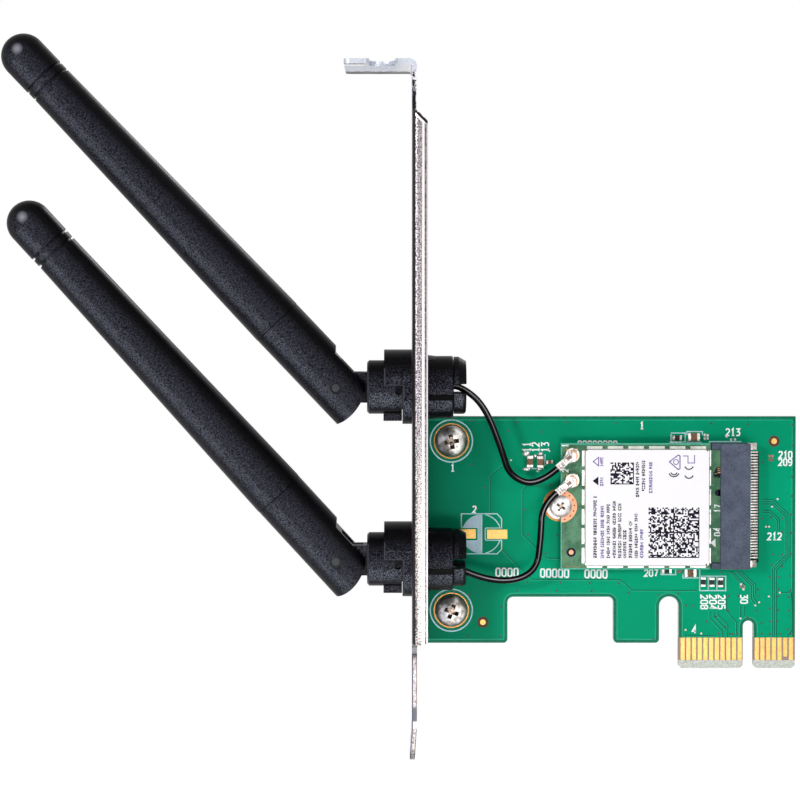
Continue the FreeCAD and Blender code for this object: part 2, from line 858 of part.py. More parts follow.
def fork_profile():
    """Side view of the fork, hinge pin at the origin and the antenna towards -X."""
    closed = sleeve_offset - sleeve_radius - 1
    nose_x = fork_nose - fork_nose_radius
    nose = rod(
        fork_nose_radius,
        (nose_x, -2 * sleeve_radius, -fork_nose_centre_drop),
        (nose_x, 2 * sleeve_radius, -fork_nose_centre_drop),
    )
    head = box(
        (-fork_step, -2 * sleeve_radius, closed),
        (fork_nose, 2 * sleeve_radius, fork_flat),
    )
    head = head.common(nose)
    edges = [
        edge for edge in head.Edges
        if abs(edge.CenterOfMass.z - fork_flat) < 1e-6
        and edge.CenterOfMass.x > 0
        and edge.BoundBox.YLength > sleeve_radius
    ]
    head = head.makeFillet(fork_nose_corner_radius, edges)
    top = sleeve_offset + sleeve_radius + 1
    rise = top - fork_flat
    shank = [
        (-sleeve_joint, closed, 0),
        (-fork_step, closed, 0),
        (-fork_step, fork_flat, 0),
        (-fork_step - rise, top, 0),
        (-sleeve_joint, top, 0),
    ]
    return head.fuse(prism_y(shank, -2 * sleeve_radius, 2 * sleeve_radius))


def tongue_room():
    """Space for the hinge tongue: open at the nose and on the upper side of the fork."""
    half = tongue_plate_thickness / 2 + fork_gap_clearance
    radius = tongue_plate_height / 2 + fork_web_gap
    reach = 2 * sleeve_radius
    room = rod(radius, (0, -half, 0), (0, half, 0))
    room = room.fuse(box((0, -half, -radius), (reach, half, reach)))
    return room.fuse(box((-radius, -half, 0), (reach, half, reach)))


def antenna_sleeve():
    """Lower barrel of the antenna with the hinge fork, lying along -X from the pin."""
    spigot_end = -sleeve_joint - spigot_length
    barrel = rod(sleeve_radius, (-sleeve_joint, 0, sleeve_offset),
                 (fork_nose + 1, 0, sleeve_offset))
    sleeve = barrel.common(fork_profile())
    spigot_radius = cover_joint_radius - cover_wall - spigot_clearance
    spigot = rod(spigot_radius, (spigot_end, 0, sleeve_offset), (-sleeve_joint, 0, sleeve_offset))
    sleeve = sleeve.fuse(spigot).cut(tongue_room())
    coax_hole = rod(lead_bore_radius, (spigot_end, 0, sleeve_offset), (0, 0, sleeve_offset))
    seat = rod(
        radiator_radius + press_clearance,
        (spigot_end, 0, sleeve_offset),
        (spigot_end + radiator_seat_depth, 0, sleeve_offset),
    )
    sleeve = sleeve.cut(coax_hole).cut(seat)
    for shape in hinge_pins(press_clearance):
        sleeve = sleeve.cut(shape)
    return sleeve.removeSplitter()


def hinge_pins(extra):
    """Two short headed pins, one through each cheek of the fork into the tongue."""
    pins = []
    inner = tongue_coax_slot / 2 + running_clearance
    outer = math.sqrt(sleeve_radius ** 2 - sleeve_offset ** 2) - pin_head_depth
    for side in [-1, 1]:
        shank = rod(hinge_pin_radius + extra, (0, side * inner, 0), (0, side * outer, 0))
        head = rod(
            pin_head_radius + extra,
            (0, side * (outer - pin_head_depth), 0),
            (0, side * outer, 0),
        )
        past = rod(pin_head_radius + extra, (0, side * outer, 0), (0, side * 2 * outer, 0))
        pin = shank.fuse(head)
        pins.append(pin.fuse(past) if extra else pin)
    return pins


def antenna_cover():
    """Hollow tapered cover with two grooves before its round end."""
    second_groove = cover_groove_start + cover_groove_width + cover_rib_width
    cap_start = second_groove + cover_groove_width
    groove_radius = cover_end_radius - cover_groove_depth
    chamfer = cover_joint_chamfer
    inner_joint = cover_joint_radius - cover_wall
    inner_end = cover_end_radius - cover_wall
    return turned([
        (-sleeve_joint, inner_joint, 0),
        (-sleeve_joint, cover_joint_radius - chamfer, 0),
        (-sleeve_joint - chamfer, cover_joint_radius, 0),
        (-cover_groove_start, cover_end_radius, 0),
        (-cover_groove_start, groove_radius, 0),
        (-cover_groove_start - cover_groove_width, groove_radius, 0),
        (-cover_groove_start - cover_groove_width, cover_end_radius, 0),
        (-second_groove, cover_end_radius, 0),
        (-second_groove, groove_radius, 0),
        (-cap_start, groove_radius, 0),
        (-cap_start, cap_radius, 0),
        (-cap_tip, cap_radius, cap_radius),
        (-cap_tip, 0, 0),
        (-cap_tip + cap_wall, 0, 0),
        (-cap_tip + cap_wall, inner_end, 0),
        (-sleeve_joint - spigot_length, inner_joint, 0),
    ], 0, sleeve_offset)


def radiator():
    """Brass tube around the coax, seated in the end of the sleeve."""
    start = -sleeve_joint - spigot_length + radiator_seat_depth
    end = start - radiator_length
    tube = rod(radiator_radius, (start, 0, sleeve_offset), (end, 0, sleeve_offset))
    bore = rod(
        radiator_radius - radiator_wall,
        (start, 0, sleeve_offset),
        (end + radiator_end_wall, 0, sleeve_offset),
    )
    hole = rod(coax_radius + press_clearance, (start, 0, sleeve_offset),
               (end - 1, 0, sleeve_offset))
    return tube.cut(bore).cut(hole)


def antenna_coax():
    """Coax inside the antenna: jacket up to the tube's end, then the bare core."""
    start = -tongue_plate_height / 2 - fork_web_gap - press_clearance
    jacket_end = -sleeve_joint - spigot_length + radiator_seat_depth - radiator_length
    jacket = rod(coax_radius, (start, 0, sleeve_offset), (jacket_end, 0, sleeve_offset))
    core = rod(
        core_radius,
        (jacket_end, 0, sleeve_offset),
        (jacket_end - core_length, 0, sleeve_offset),
    )
    return jacket.fuse(core)


def placed_antenna(shape, z, fold_angle, swivel_angle):
    """Antenna piece folded up about its pin, then turned with its swivel base."""
    piece = turned_about_axis(shape, fold_angle, ORIGIN, Y_AXIS)
    piece.translate(Vec(hinge_x, antenna_y, z))
    return turned_about_axis(piece, swivel_angle, Vec(0, antenna_y, z), X_AXIS)


def lead_path(route):
    """Straight runs joined by tangent arcs, through the corners of a route."""
    points = [Vec(*corner) for corner in route]
    edges = []
    radii = []
    position = points[0]
    for index in range(1, len(points) - 1):
        before = points[index - 1] - points[index]
        after = points[index + 1] - points[index]
        turn = math.pi - before.getAngle(after)
        reach = bend_share * min(before.Length, after.Length)
        radius = reach / math.tan(turn / 2)
        before.normalize()
        after.normalize()
        inward = (before + after).normalize()
        start = points[index] + before * reach
        end = points[index] + after * reach
        middle = points[index] + inward * (radius / math.cos(turn / 2) - radius)
        edges.append(Part.LineSegment(position, start).toShape())
        edges.append(Part.Arc(start, middle, end).toShape())
        position = end
        radii.append(round(radius, 2))
    edges.append(Part.LineSegment(position, points[-1]).toShape())
    return Part.Wire(edges), radii


def coax_lead(name, route):
    """Round lead along a route, with its bend radii printed."""
    wire, radii = lead_path(route)
    direction = Vec(*route[1]) - Vec(*route[0])
    ring = Part.Wire(Part.makeCircle(coax_radius, Vec(*route[0]), direction))
    lead = wire.makePipeShell([ring], True, False)
    share = lead.Volume / (math.pi * coax_radius ** 2 * wire.Length)
    print(name, "length", round(wire.Length, 2), "bend radii", radii, "volume share", round(share, 4))
    return lead


def socket_frame():
    """Moulded socket with an ear at each end and a slot for the module's tongue."""
    gap = socket_slot_clearance
    inner = module_tongue_width / 2 + gap
    low_z = socket_centre_z - socket_length / 2
    high_z = socket_centre_z + socket_length / 2
    front_y = board_front_y - socket_height
    ear_front_y = board_front_y - socket_ear_height
    ear_left_x = socket_left_x - socket_ear_reach
    frame = box((socket_left_x, front_y, low_z), (socket_right_x, board_front_y, high_z))
    ears = box((ear_left_x, ear_front_y, low_z), (socket_left_x, board_front_y, high_z))
    between = box(
        (ear_left_x, ear_front_y, socket_centre_z - inner),
        (socket_left_x, board_front_y, socket_centre_z + inner),
    )
    frame = frame.fuse(ears.cut(between))
    slot = box(
        (socket_left_x, module_front_y - gap, socket_centre_z - inner),
        (module_right_x + gap, module_back_y + gap, socket_centre_z + inner),
    )
    key_z = socket_centre_z + module_key_offset
    half_key = module_key_width / 2 - gap
    key = box(
        (socket_left_x, module_front_y - gap, key_z - half_key),
        (module_right_x + gap, module_back_y + gap, key_z + half_key),
    )
    return frame.cut(slot.cut(key)).removeSplitter()


def tail(x, reach, z):
    """Bent foot of one socket contact, from the socket's side down to the board."""
    side = 1 if reach > 0 else -1
    foot_y = board_front_y - tail_thickness
    knee_x = x + side * tail_rise
    profile = [
        (x, board_front_y - tail_rise, 0),
        (knee_x - side * tail_thickness, board_front_y - tail_rise, 0),
        (knee_x - side * tail_thickness, board_front_y, 0),
        (x + reach, board_front_y, 0),
        (x + reach, foot_y, 0),
        (knee_x, foot_y, 0),
        (knee_x, board_front_y - tail_rise - tail_thickness, 0),
        (x, board_front_y - tail_rise - tail_thickness, 0),
    ]
    return prism_z(profile, z - tail_width / 2, z + tail_width / 2)


def socket_contacts():
    """Both rows of soldered contact feet, the second row under the module."""
    feet = []
    for count, x, reach in [
        (tail_count, socket_right_x, tail_reach),
        (front_tail_count, socket_left_x, -front_tail_reach),
    ]:
        for index in range(count):
            z = socket_centre_z + (index - (count - 1) / 2) * tail_pitch
            feet.append(tail(x, reach, z))
    return feet


def socket_anchors():
    """Metal hold-downs soldered beside both ends of the socket."""
    anchors = []
    for side in [-1, 1]:
        end_z = socket_centre_z + side * socket_length / 2
        start_z = end_z - side * anchor_width
        plate = [
            (socket_right_x, board_front_y, 0),
            (socket_right_x + anchor_length, board_front_y, 0),
            (socket_right_x + anchor_length, board_front_y - anchor_height / 3, 0),
            (socket_right_x + anchor_length / 2, board_front_y - anchor_height, 0),
            (socket_right_x, board_front_y - anchor_height, 0),
        ]
        anchors.append(prism_z(plate, min(start_z, end_z), max(start_z, end_z)))
    return anchors


def module_board():
    """Small board: half-round screw notch at one end, narrower keyed tongue at the other."""
    low = (module_left_x, module_front_y, module_bottom_z)
    high = (module_right_x, module_back_y, module_top_z)
    board = box(low, high)
    shoulder_x = module_right_x - module_tongue_length
    for side in [-1, 1]:
        root_z = socket_centre_z + side * module_tongue_width / 2
        edge_z = socket_centre_z + side * module_width
        shoulder = box(
            (shoulder_x, module_front_y, min(root_z, edge_z)),
            (module_right_x, module_back_y, max(root_z, edge_z)),
        )
        board = board.cut(shoulder)
    notch = rod(
        module_notch_radius,
        (module_left_x, module_front_y - 1, socket_centre_z),
        (module_left_x, module_back_y + 1, socket_centre_z),
    )
    key_z = socket_centre_z + module_key_offset
    half = module_key_width / 2
    end_x = module_right_x - module_key_depth + half
    key = box(
        (end_x, module_front_y - 1, key_z - half),
        (module_right_x + 1, module_back_y + 1, key_z + half),
    )
    key = key.fuse(rod(half, (end_x, module_front_y - 1, key_z), (end_x, module_back_y + 1, key_z)))
    return board.cut(notch).cut(key)


def module_contacts():
    """Plated contacts on both faces of the module, inside the socket."""
    pads = []
    key_z = socket_centre_z + module_key_offset
    for face_y, side, count in [
        (module_front_y, -1, tail_count),
        (module_back_y, 1, front_tail_count),
    ]:
        outer_y = face_y + side * module_contact_thickness
        for index in range(count):
            z = socket_centre_z + (index - (count - 1) / 2) * tail_pitch
            if abs(z - key_z) < (module_key_width + module_contact_width) / 2 + press_clearance:
                continue
            low = (module_right_x - module_contact_length, min(face_y, outer_y),
                   z - module_contact_width / 2)
            high = (module_right_x, max(face_y, outer_y), z + module_contact_width / 2)
            pads.append(box(low, high))
    return pads


def shield_can():
    """Drawn sheet can over the module's circuits, with soldered feet all round."""
    outer = square_corners(
        (shield_left_x, shield_bottom_z), (shield_right_x, shield_top_z), shield_corner_radius)
    inner = square_corners(
        (shield_left_x + shield_wall, shield_bottom_z + shield_wall),
        (shield_right_x - shield_wall, shield_top_z - shield_wall),
        shield_corner_radius - shield_wall)
    can = prism_y(outer, shield_front_y, module_front_y)
    can = can.cut(prism_y(inner, shield_front_y + shield_wall, module_front_y + 1))
    foot_back = module_front_y
    foot_front = module_front_y - shield_foot_thickness
    width = shield_right_x - shield_left_x
    height = shield_top_z - shield_bottom_z
    half = shield_foot_length / 2
    for index in range(shield_feet_per_side):
        share = (index + 0.5) / shield_feet_per_side
        x = shield_left_x + share * width
        z = shield_bottom_z + share * height
        for edge, out in [(shield_bottom_z, -1), (shield_top_z, 1)]:
            tip = edge + out * shield_foot_width
            root = edge - out * shield_wall
            low = (x - half, foot_front, min(root, tip))
            can = can.fuse(box(low, (x + half, foot_back, max(root, tip))))
        for edge, out in [(shield_left_x, -1), (shield_right_x, 1)]:
            tip = edge + out * shield_foot_width
            root = edge - out * shield_wall
            low = (min(root, tip), foot_front, z - half)
            can = can.fuse(box(low, (max(root, tip), foot_back, z + half)))
    return can.removeSplitter()


def module_label():
    corners = square_corners(
        (shield_left_x + label_margin, shield_bottom_z + label_margin),
        (shield_right_x - label_margin, shield_top_z - label_margin),
        label_corner_radius)
    return prism_y(corners, shield_front_y - label_thickness, shield_front_y)


def module_standoff():
    """Threaded post pressed into the main board under the module's notch."""
    x = module_left_x
    z = socket_centre_z
    post = rod(standoff_radius, (x, module_back_y, z), (x, board_front_y, z))
    foot_y = board_front_y - standoff_flange_height
    post = post.fuse(rod(standoff_flange_radius, (x, foot_y, z), (x, board_front_y, z)))
    post = post.fuse(rod(standoff_shank_radius, (x, board_front_y, z), (x, board_back_y, z)))
    thread = module_screw_radius + thread_clearance
    return post.cut(rod(thread, (x, module_back_y - 1, z), (x, board_back_y + 1, z)))


def module_screw():
    length = module_thickness + module_lift
    recess = cross_recess(module_recess_reach, module_recess_reach / 2, module_recess_width,
                          module_recess_depth, -module_screw_head_height)
    screw = pan_screw(module_screw_head_radius, module_screw_head_height,
                      module_screw_head_edge, module_screw_radius, length, recess)
    screw.rotate(ORIGIN, Y_AXIS, module_screw_turn)
    screw.translate(Vec(module_left_x, module_front_y, socket_centre_z))
    return screw


def coax_receptacle(z):
    """Square base with a round barrel and a centre pin."""
    half = receptacle_size / 2
    base_y = module_front_y - receptacle_base
    base = box((plug_x - half, base_y, z - half), (plug_x + half, module_front_y, z + half))
    top_y = base_y - receptacle_barrel_height
    barrel = rod(receptacle_barrel_radius, (plug_x, base_y, z), (plug_x, top_y, z))
    inner = receptacle_barrel_radius - receptacle_barrel_wall
    barrel = barrel.cut(rod(inner, (plug_x, base_y, z), (plug_x, top_y - 1, z)))
    pin_top = top_y + receptacle_barrel_wall
    pin = rod(receptacle_pin_radius, (plug_x, base_y, z), (plug_x, pin_top, z))
    return base.fuse(barrel).fuse(pin)


def coax_plug(z, angle):
    """Right-angle plug: cap over the barrel, neck and crimp towards the lead."""
    base_y = module_front_y - receptacle_base - plug_base_gap
    top_y = module_front_y - plug_top
    cap = rod(plug_radius, (0, base_y, 0), (0, top_y, 0))
    bore = receptacle_barrel_radius + plug_fit
    inner_top = module_front_y - receptacle_base - receptacle_barrel_height - plug_base_gap
    neck = [
        (0, -plug_neck_half_width, 0),
        (plug_crimp_start, -plug_crimp_half_width, 0),
        (plug_crimp_start, plug_crimp_half_width, 0),
        (0, plug_neck_half_width, 0),
    ]
    crimp = square_corners(
        (plug_crimp_start, -plug_crimp_half_width), (plug_length, plug_crimp_half_width))
    crimp_back_y = 2 * plug_axis_y - top_y
    plug = cap.fuse(prism_y(neck, top_y, base_y)).fuse(prism_y(crimp, top_y, crimp_back_y))
    plug = plug.cut(rod(bore, (0, 0, 0), (0, inner_top, 0))).removeSplitter()
    plug.rotate(ORIGIN, Y_AXIS, -angle)
    plug.translate(Vec(plug_x, 0, z))
    return plug


def chip_pieces(x, z, length, width, height, upright):
    """Middle and two end caps of one chip part, standing on the board's front."""
    cap = chip_cap_share * length
    middle = box(
        (-length / 2 + cap, board_front_y - height, -width / 2),
        (length / 2 - cap, board_front_y, width / 2),
    )
    extra = chip_cap_extra
    caps = []
    for side in [-1, 1]:
        inner = side * (length / 2 - cap)
        outer = side * length / 2
        low = (min(inner, outer), board_front_y - height - extra, -width / 2 - extra)
        high = (max(inner, outer), board_front_y, width / 2 + extra)
        caps.append(box(low, high))
    for piece in [middle] + caps:
        if upright:
            piece.rotate(ORIGIN, Y_AXIS, 90)
        piece.translate(Vec(x, 0, z))
    return middle, caps


def chip_group(chips):
    middles = []
    caps = []
    for chip in chips:
        middle, pair = chip_pieces(*chip)
        middles.append(middle)
        caps.extend(pair)
    return middles, caps


def main():
    os.makedirs("parts", exist_ok=True)
    save("bracket", [bracket()])
    save("main_board", [main_board()])
    save("edge_contacts", edge_contacts())
    save("board_screw_upper", [board_screw(upper_screw_z, upper_screw_turn)])
    save("board_screw_lower", [board_screw(lower_screw_z, lower_screw_turn)])

    save("module_socket", [socket_frame()])
    save("module_socket_contacts", socket_contacts())
    save("module_socket_anchors", socket_anchors())
    save("module_standoff", [module_standoff()])
    save("module_screw", [module_screw()])
    save("module_board", [module_board()])
    save("module_contacts", module_contacts())
    save("module_shield", [shield_can()])
    save("module_label", [module_label()])

    resistor_middles, resistor_caps = chip_group(resistor_chips)
    capacitor_middles, capacitor_caps = chip_group(capacitor_chips)
    save("chip_resistors", resistor_middles)
    save("chip_capacitors", capacitor_middles)
    save("chip_end_caps", resistor_caps + capacitor_caps)

    for name, z, angle, route in [
        ("upper", upper_plug_z, upper_plug_angle, upper_lead_route),
        ("lower", lower_plug_z, lower_plug_angle, lower_lead_route),
    ]:
        save("coax_receptacle_" + name, [coax_receptacle(z)])
        save("coax_plug_" + name, [coax_plug(z, angle)])
        save("coax_lead_" + name, [coax_lead("coax_lead_" + name, route)])

    for name, z, fold_angle, swivel_angle in [
        ("upper", upper_antenna_z, upper_fold_angle, upper_swivel_angle),
        ("lower", lower_antenna_z, lower_fold_angle, lower_swivel_angle),
    ]:
        save("antenna_holder_" + name, [antenna_holder(z)])
        save("swivel_base_" + name, [swivel_base(z, swivel_angle)])
        for piece, shapes in [
            ("antenna_sleeve_", [antenna_sleeve()]),
            ("antenna_cover_", [antenna_cover()]),
            ("hinge_pins_", hinge_pins(0)),
            ("radiator_", [radiator()]),
            ("antenna_coax_", [antenna_coax()]),
        ]:
            placed = [placed_antenna(shape, z, fold_angle, swivel_angle) for shape in shapes]
            save(piece + name, placed)


main()
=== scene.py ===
import json
import math
import random

import bmesh
import bpy
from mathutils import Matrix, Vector


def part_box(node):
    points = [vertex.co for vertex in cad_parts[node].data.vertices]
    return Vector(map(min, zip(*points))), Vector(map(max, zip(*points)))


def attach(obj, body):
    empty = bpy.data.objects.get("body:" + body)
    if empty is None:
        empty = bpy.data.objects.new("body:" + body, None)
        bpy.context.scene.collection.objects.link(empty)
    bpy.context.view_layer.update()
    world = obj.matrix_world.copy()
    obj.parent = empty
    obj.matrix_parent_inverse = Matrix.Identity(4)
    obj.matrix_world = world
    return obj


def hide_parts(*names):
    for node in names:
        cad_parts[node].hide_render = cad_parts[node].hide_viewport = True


# Looks of a plug-in wireless card. Lengths are in millimetres, unless a comment says metres,
# and become metres where the scene gets them.

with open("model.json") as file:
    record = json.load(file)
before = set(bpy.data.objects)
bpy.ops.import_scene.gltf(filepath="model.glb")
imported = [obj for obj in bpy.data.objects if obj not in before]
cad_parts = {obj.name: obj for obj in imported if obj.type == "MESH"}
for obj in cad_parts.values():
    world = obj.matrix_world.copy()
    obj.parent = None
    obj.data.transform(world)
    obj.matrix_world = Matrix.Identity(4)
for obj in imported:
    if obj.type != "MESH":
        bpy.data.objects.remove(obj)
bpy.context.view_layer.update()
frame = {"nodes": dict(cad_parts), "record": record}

MM = 0.001
CARD = "card"
PIXELS = 800
FOCAL_PIXELS = 2275.0
EYE = (-61.1, -398.785, 64.64)
HORIZON_ROW = 300.0
SHIFT = -0.0625
PRINCIPAL_ROW = PIXELS * (0.5 + SHIFT)
PITCH = math.atan((PRINCIPAL_ROW - HORIZON_ROW) / FOCAL_PIXELS)
FLOOR_LEVEL = -120.0
# strength of the light from the world, and of the floor's own glow where it is seen
AMBIENT = 0.3
FLOOR_GLOW = 0.72
BOARD_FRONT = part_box("main_board")[0].y / MM
BOARD_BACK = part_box("main_board")[1].y / MM
MODULE_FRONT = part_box("module_board")[0].y / MM
SHIELD_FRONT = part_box("module_shield")[0].y / MM
LABEL_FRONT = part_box("module_label")[0].y / MM
# how deep a thin shape reaches into the face that it lies on
ROOT = 0.004


def add_object(name, data):
    made = bpy.data.objects.new(name, data)
    bpy.context.scene.collection.objects.link(made)
    return made


def add_camera():
    data = bpy.data.cameras.new("camera")
    data.sensor_width = 36.0
    data.lens = FOCAL_PIXELS / PIXELS * data.sensor_width
    data.shift_y = SHIFT
    data.clip_start = 0.01
    data.clip_end = 20.0
    camera = add_object("camera", data)
    camera.location = [value * MM for value in EYE]
    camera.rotation_euler = (math.pi / 2 - PITCH, 0.0, 0.0)
    bpy.context.scene.camera = camera


def at(column, row, depth=BOARD_FRONT):
    """Place (x, z) that shows at a pixel of the 800 x 800 frame, on the plane y = depth."""
    slope = (PRINCIPAL_ROW - row) / FOCAL_PIXELS
    away = depth - EYE[1]
    rise = away * (slope * math.cos(PITCH) - math.sin(PITCH)) / (math.cos(PITCH) + slope * math.sin(PITCH))
    along = away * math.cos(PITCH) - rise * math.sin(PITCH)
    return EYE[0] + (column - PIXELS / 2) * along / FOCAL_PIXELS, EYE[2] + rise


def places(pixels, depth=BOARD_FRONT):
    return [at(column, row, depth) for column, row in pixels]


# Materials

def linear(rgb):
    """Linear colour of an sRGB one given as 0 to 255."""
    out = []
    for value in rgb:
        share = value / 255
        out.append(share / 12.92 if share <= 0.04045 else ((share + 0.055) / 1.055) ** 2.4)
    return out + [1.0]


class Nodes:
    """Shader nodes of one tree."""

    def __init__(self, tree):
        self.tree = tree

    def put(self, socket, value):
        """Link an output to a socket, or set a constant on it."""
        if isinstance(value, bpy.types.NodeSocket):
            self.tree.links.new(value, socket)
        else:
            socket.default_value = value

    def node(self, kind, inputs, **settings):
        made = self.tree.nodes.new("ShaderNode" + kind)
        for key, value in settings.items():
            setattr(made, key, value)
        for key, value in inputs.items():
            self.put(made.inputs[key], value)
        return made

    def math(self, operation, *inputs):
        return self.node("Math", dict(enumerate(inputs)), operation=operation).outputs[0]

    def times(self, first, *others):
        """Product of shares."""
        for other in others:
            first = self.math("MULTIPLY", first, other)
        return first

    def span(self, value, low, high, out_low=0.0, out_high=1.0):
        """Share from out_low to out_high as a value goes from low to high."""
        return self.node("MapRange", {"Value": value, "From Min": low, "From Max": high,
                                      "To Min": out_low, "To Max": out_high}).outputs[0]

    def by_ray(self, diffuse, seen):
        """One value for diffuse rays, and another for camera, glossy and transmission rays."""
        path = self.node("LightPath", {})
        output = path.outputs["Is Camera Ray"]
        for name in ("Is Glossy Ray", "Is Transmission Ray"):
            output = self.math("MAXIMUM", output, path.outputs[name])
        return self.span(output, 0.0, 1.0, diffuse, seen)


class Surface(Nodes):
    """One material around a Principled shader, in object coordinates."""

    def __init__(self, name, **constants):
        self.material = bpy.data.materials.new(name)
        self.material.use_nodes = True
        super().__init__(self.material.node_tree)
        self.shader = self.tree.nodes["Principled BSDF"]
        self.coords = self.node("TexCoord", {})
        for key, value in constants.items():
            self.shader.inputs[key.replace("_", " ")].default_value = value

    def noise(self, size, detail=2.0, roughness=0.5, stretch=(1, 1, 1)):
        """Noise from about 0 to 1 whose blots are about size wide, in millimetres."""
        place = self.node("Mapping", {"Vector": self.coords.outputs["Object"],
                                      "Scale": [1 / (size * MM) * share for share in stretch]})
        return self.node("TexNoise", {"Vector": place.outputs["Vector"], "Scale": 1.0, "Detail": detail,
                                      "Roughness": roughness}).outputs["Fac"]

    def step(self, value, low, high, out_low=0.0, out_high=1.0):
        """Span between two places in millimetres."""
        return self.span(value, low * MM, high * MM, out_low, out_high)

    def zone(self, low, high, value, soft=0.04):
        """1 between two places in millimetres, with soft ends."""
        return self.times(self.step(value, low - soft, low + soft),
                          self.step(value, high - soft, high + soft, 1.0, 0.0))

    def mix(self, factor, first, second):
        """Colour between two, each an sRGB triple or an output."""
        first, second = [linear(value) if isinstance(value, tuple) else value for value in (first, second)]
        return self.node("Mix", {"Factor": factor, 6: first, 7: second}, data_type="RGBA").outputs[2]

    def coats(self, base, *rows):
        """Colour of a base under coats, each a share and a colour, laid on in turn."""
        for share, colour in rows:
            base = self.mix(share, base, colour)
        return base

    def axis(self, output, letter):
        return self.node("SeparateXYZ", {0: self.coords.outputs[output]}).outputs[letter]

    def within(self, letter, low, high):
        """1 between two places in millimetres along an axis, and 0 elsewhere."""
        return self.math("COMPARE", self.axis("Object", letter), (low + high) / 2 * MM, (high - low) / 2 * MM)

    def reach(self, x, z):
        """Distance from a line along Y, in metres like x and z."""
        across = self.math("SUBTRACT", self.axis("Object", "X"), x)
        along = self.math("SUBTRACT", self.axis("Object", "Z"), z)
        return self.math("SQRT", self.math("ADD", self.times(across, across), self.times(along, along)))

    def turned(self, direction, low, high):
        """Share from 0 to 1 by how far the surface turns to a direction fixed to the piece."""
        facing = self.node("VectorMath", {0: self.coords.outputs["Normal"], 1: direction},
                           operation="DOT_PRODUCT")
        return self.span(facing.outputs["Value"], low, high)

    def finish(self, colour, low, high, cloud, height, strength, distance):
        """Colour, roughness from low to high by a noise, and a bump by a height, in millimetres."""
        bump = self.node("Bump", {"Strength": strength, "Distance": distance * MM, "Height": height})
        for key, value in [("Base Color", colour), ("Roughness", self.span(cloud, 0.3, 0.7, low, high)),
                           ("Normal", bump.outputs["Normal"])]:
            self.put(self.shader.inputs[key], value)
        return self


def grained(name, dark, light, size, gloss, bump=(0.2, 0.01), specular=0.5, metal=0.0):
    """Two close colours mixed by noise, with uneven gloss and fine grain."""
    made = Surface(name, Specular_IOR_Level=specular, Metallic=metal)
    wide = made.noise(size * 6)
    fine = made.noise(size, 4.0)
    colour = made.mix(made.span(made.math("ADD", wide, fine), 0.7, 1.3), dark, light)
    return made.finish(colour, *gloss, wide, fine, *bump)


def middle_of(name):
    """Lower corner of a node's box, and its middle (x, z), in metres."""
    low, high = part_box(name)
    return low, ((low.x + high.x) / 2, (low.z + high.z) / 2)


def black_plastic(name, spark, lines=(), spots=()):
    """Fine-grained black moulding with painted highlights.

    The moulding itself is one black. It is painted paler where it turns outwards and downwards, in
    place of the highlights in the photo, and this paint stays with the piece in any light. Lines and
    spots are painted too: lines have a range of X and of Z and a colour; spots have a place, a radius
    and a colour. A smaller spark gives a harsher grain.
    """
    made = Surface(name, Specular_IOR_Level=0.045)
    grain = made.noise(0.24, 2.0, 0.6)
    share = made.span(grain, 0.52 - spark, 0.52 + spark)
    outward = made.turned((-0.17, -0.96, -0.2), 0.62, 0.98)
    downward = made.turned((-0.12, -0.85, -0.51), 0.92, 1.0)
    colour = made.coats(made.mix(share, (1, 1, 2), (16, 16, 20)),
                        (outward, made.mix(share, (2, 2, 5), (66, 66, 78))),
                        (downward, made.mix(share, (34, 36, 42), (112, 116, 128))))
    for x_low, x_high, z_low, z_high, shade in lines:
        inside = made.times(made.within("X", x_low, x_high), made.within("Z", z_low, z_high))
        colour = made.mix(inside, colour, shade)
    for x, z, radius, shade in spots:
        near = made.step(made.reach(x * MM, z * MM), 0.2 * radius, radius, 0.8, 0.0)
        facing = made.math("LESS_THAN", made.axis("Normal", "Y"), -0.4)
        colour = made.mix(made.times(near, facing), colour, shade)
    return made.finish(colour, 0.3, 0.36, made.noise(5.0), grain, 0.4, 0.04)


def hinge_pin(side):
    """Pin whose head has painted shade as a dark rim round a paler middle."""
    made = Surface("hinge_pin_" + side, Specular_IOR_Level=0.15)
    fine = made.noise(0.3)
    rim = made.step(made.reach(*middle_of("hinge_pins_" + side)[1]), 0.6, 0.7)
    colour = made.mix(rim, made.mix(fine, (40, 42, 47), (66, 68, 75)), (2, 2, 4))
    return made.finish(colour, 0.35, 0.45, fine, fine, 0.2, 0.01)


def coax_jacket():
    """Glossy black jacket, with a thin pale line painted in place of the photo's highlight."""
    made = Surface("coax_jacket", Specular_IOR_Level=0.06)
    fine = made.noise(0.4)
    body = made.mix(fine, (1, 1, 2), (6, 5, 8))
    colour = made.mix(made.turned((0.1, -0.97, 0.2), 0.965, 0.99), body, (150, 146, 152))
    return made.finish(colour, 0.1, 0.16, fine, fine, 0.06, 0.01)


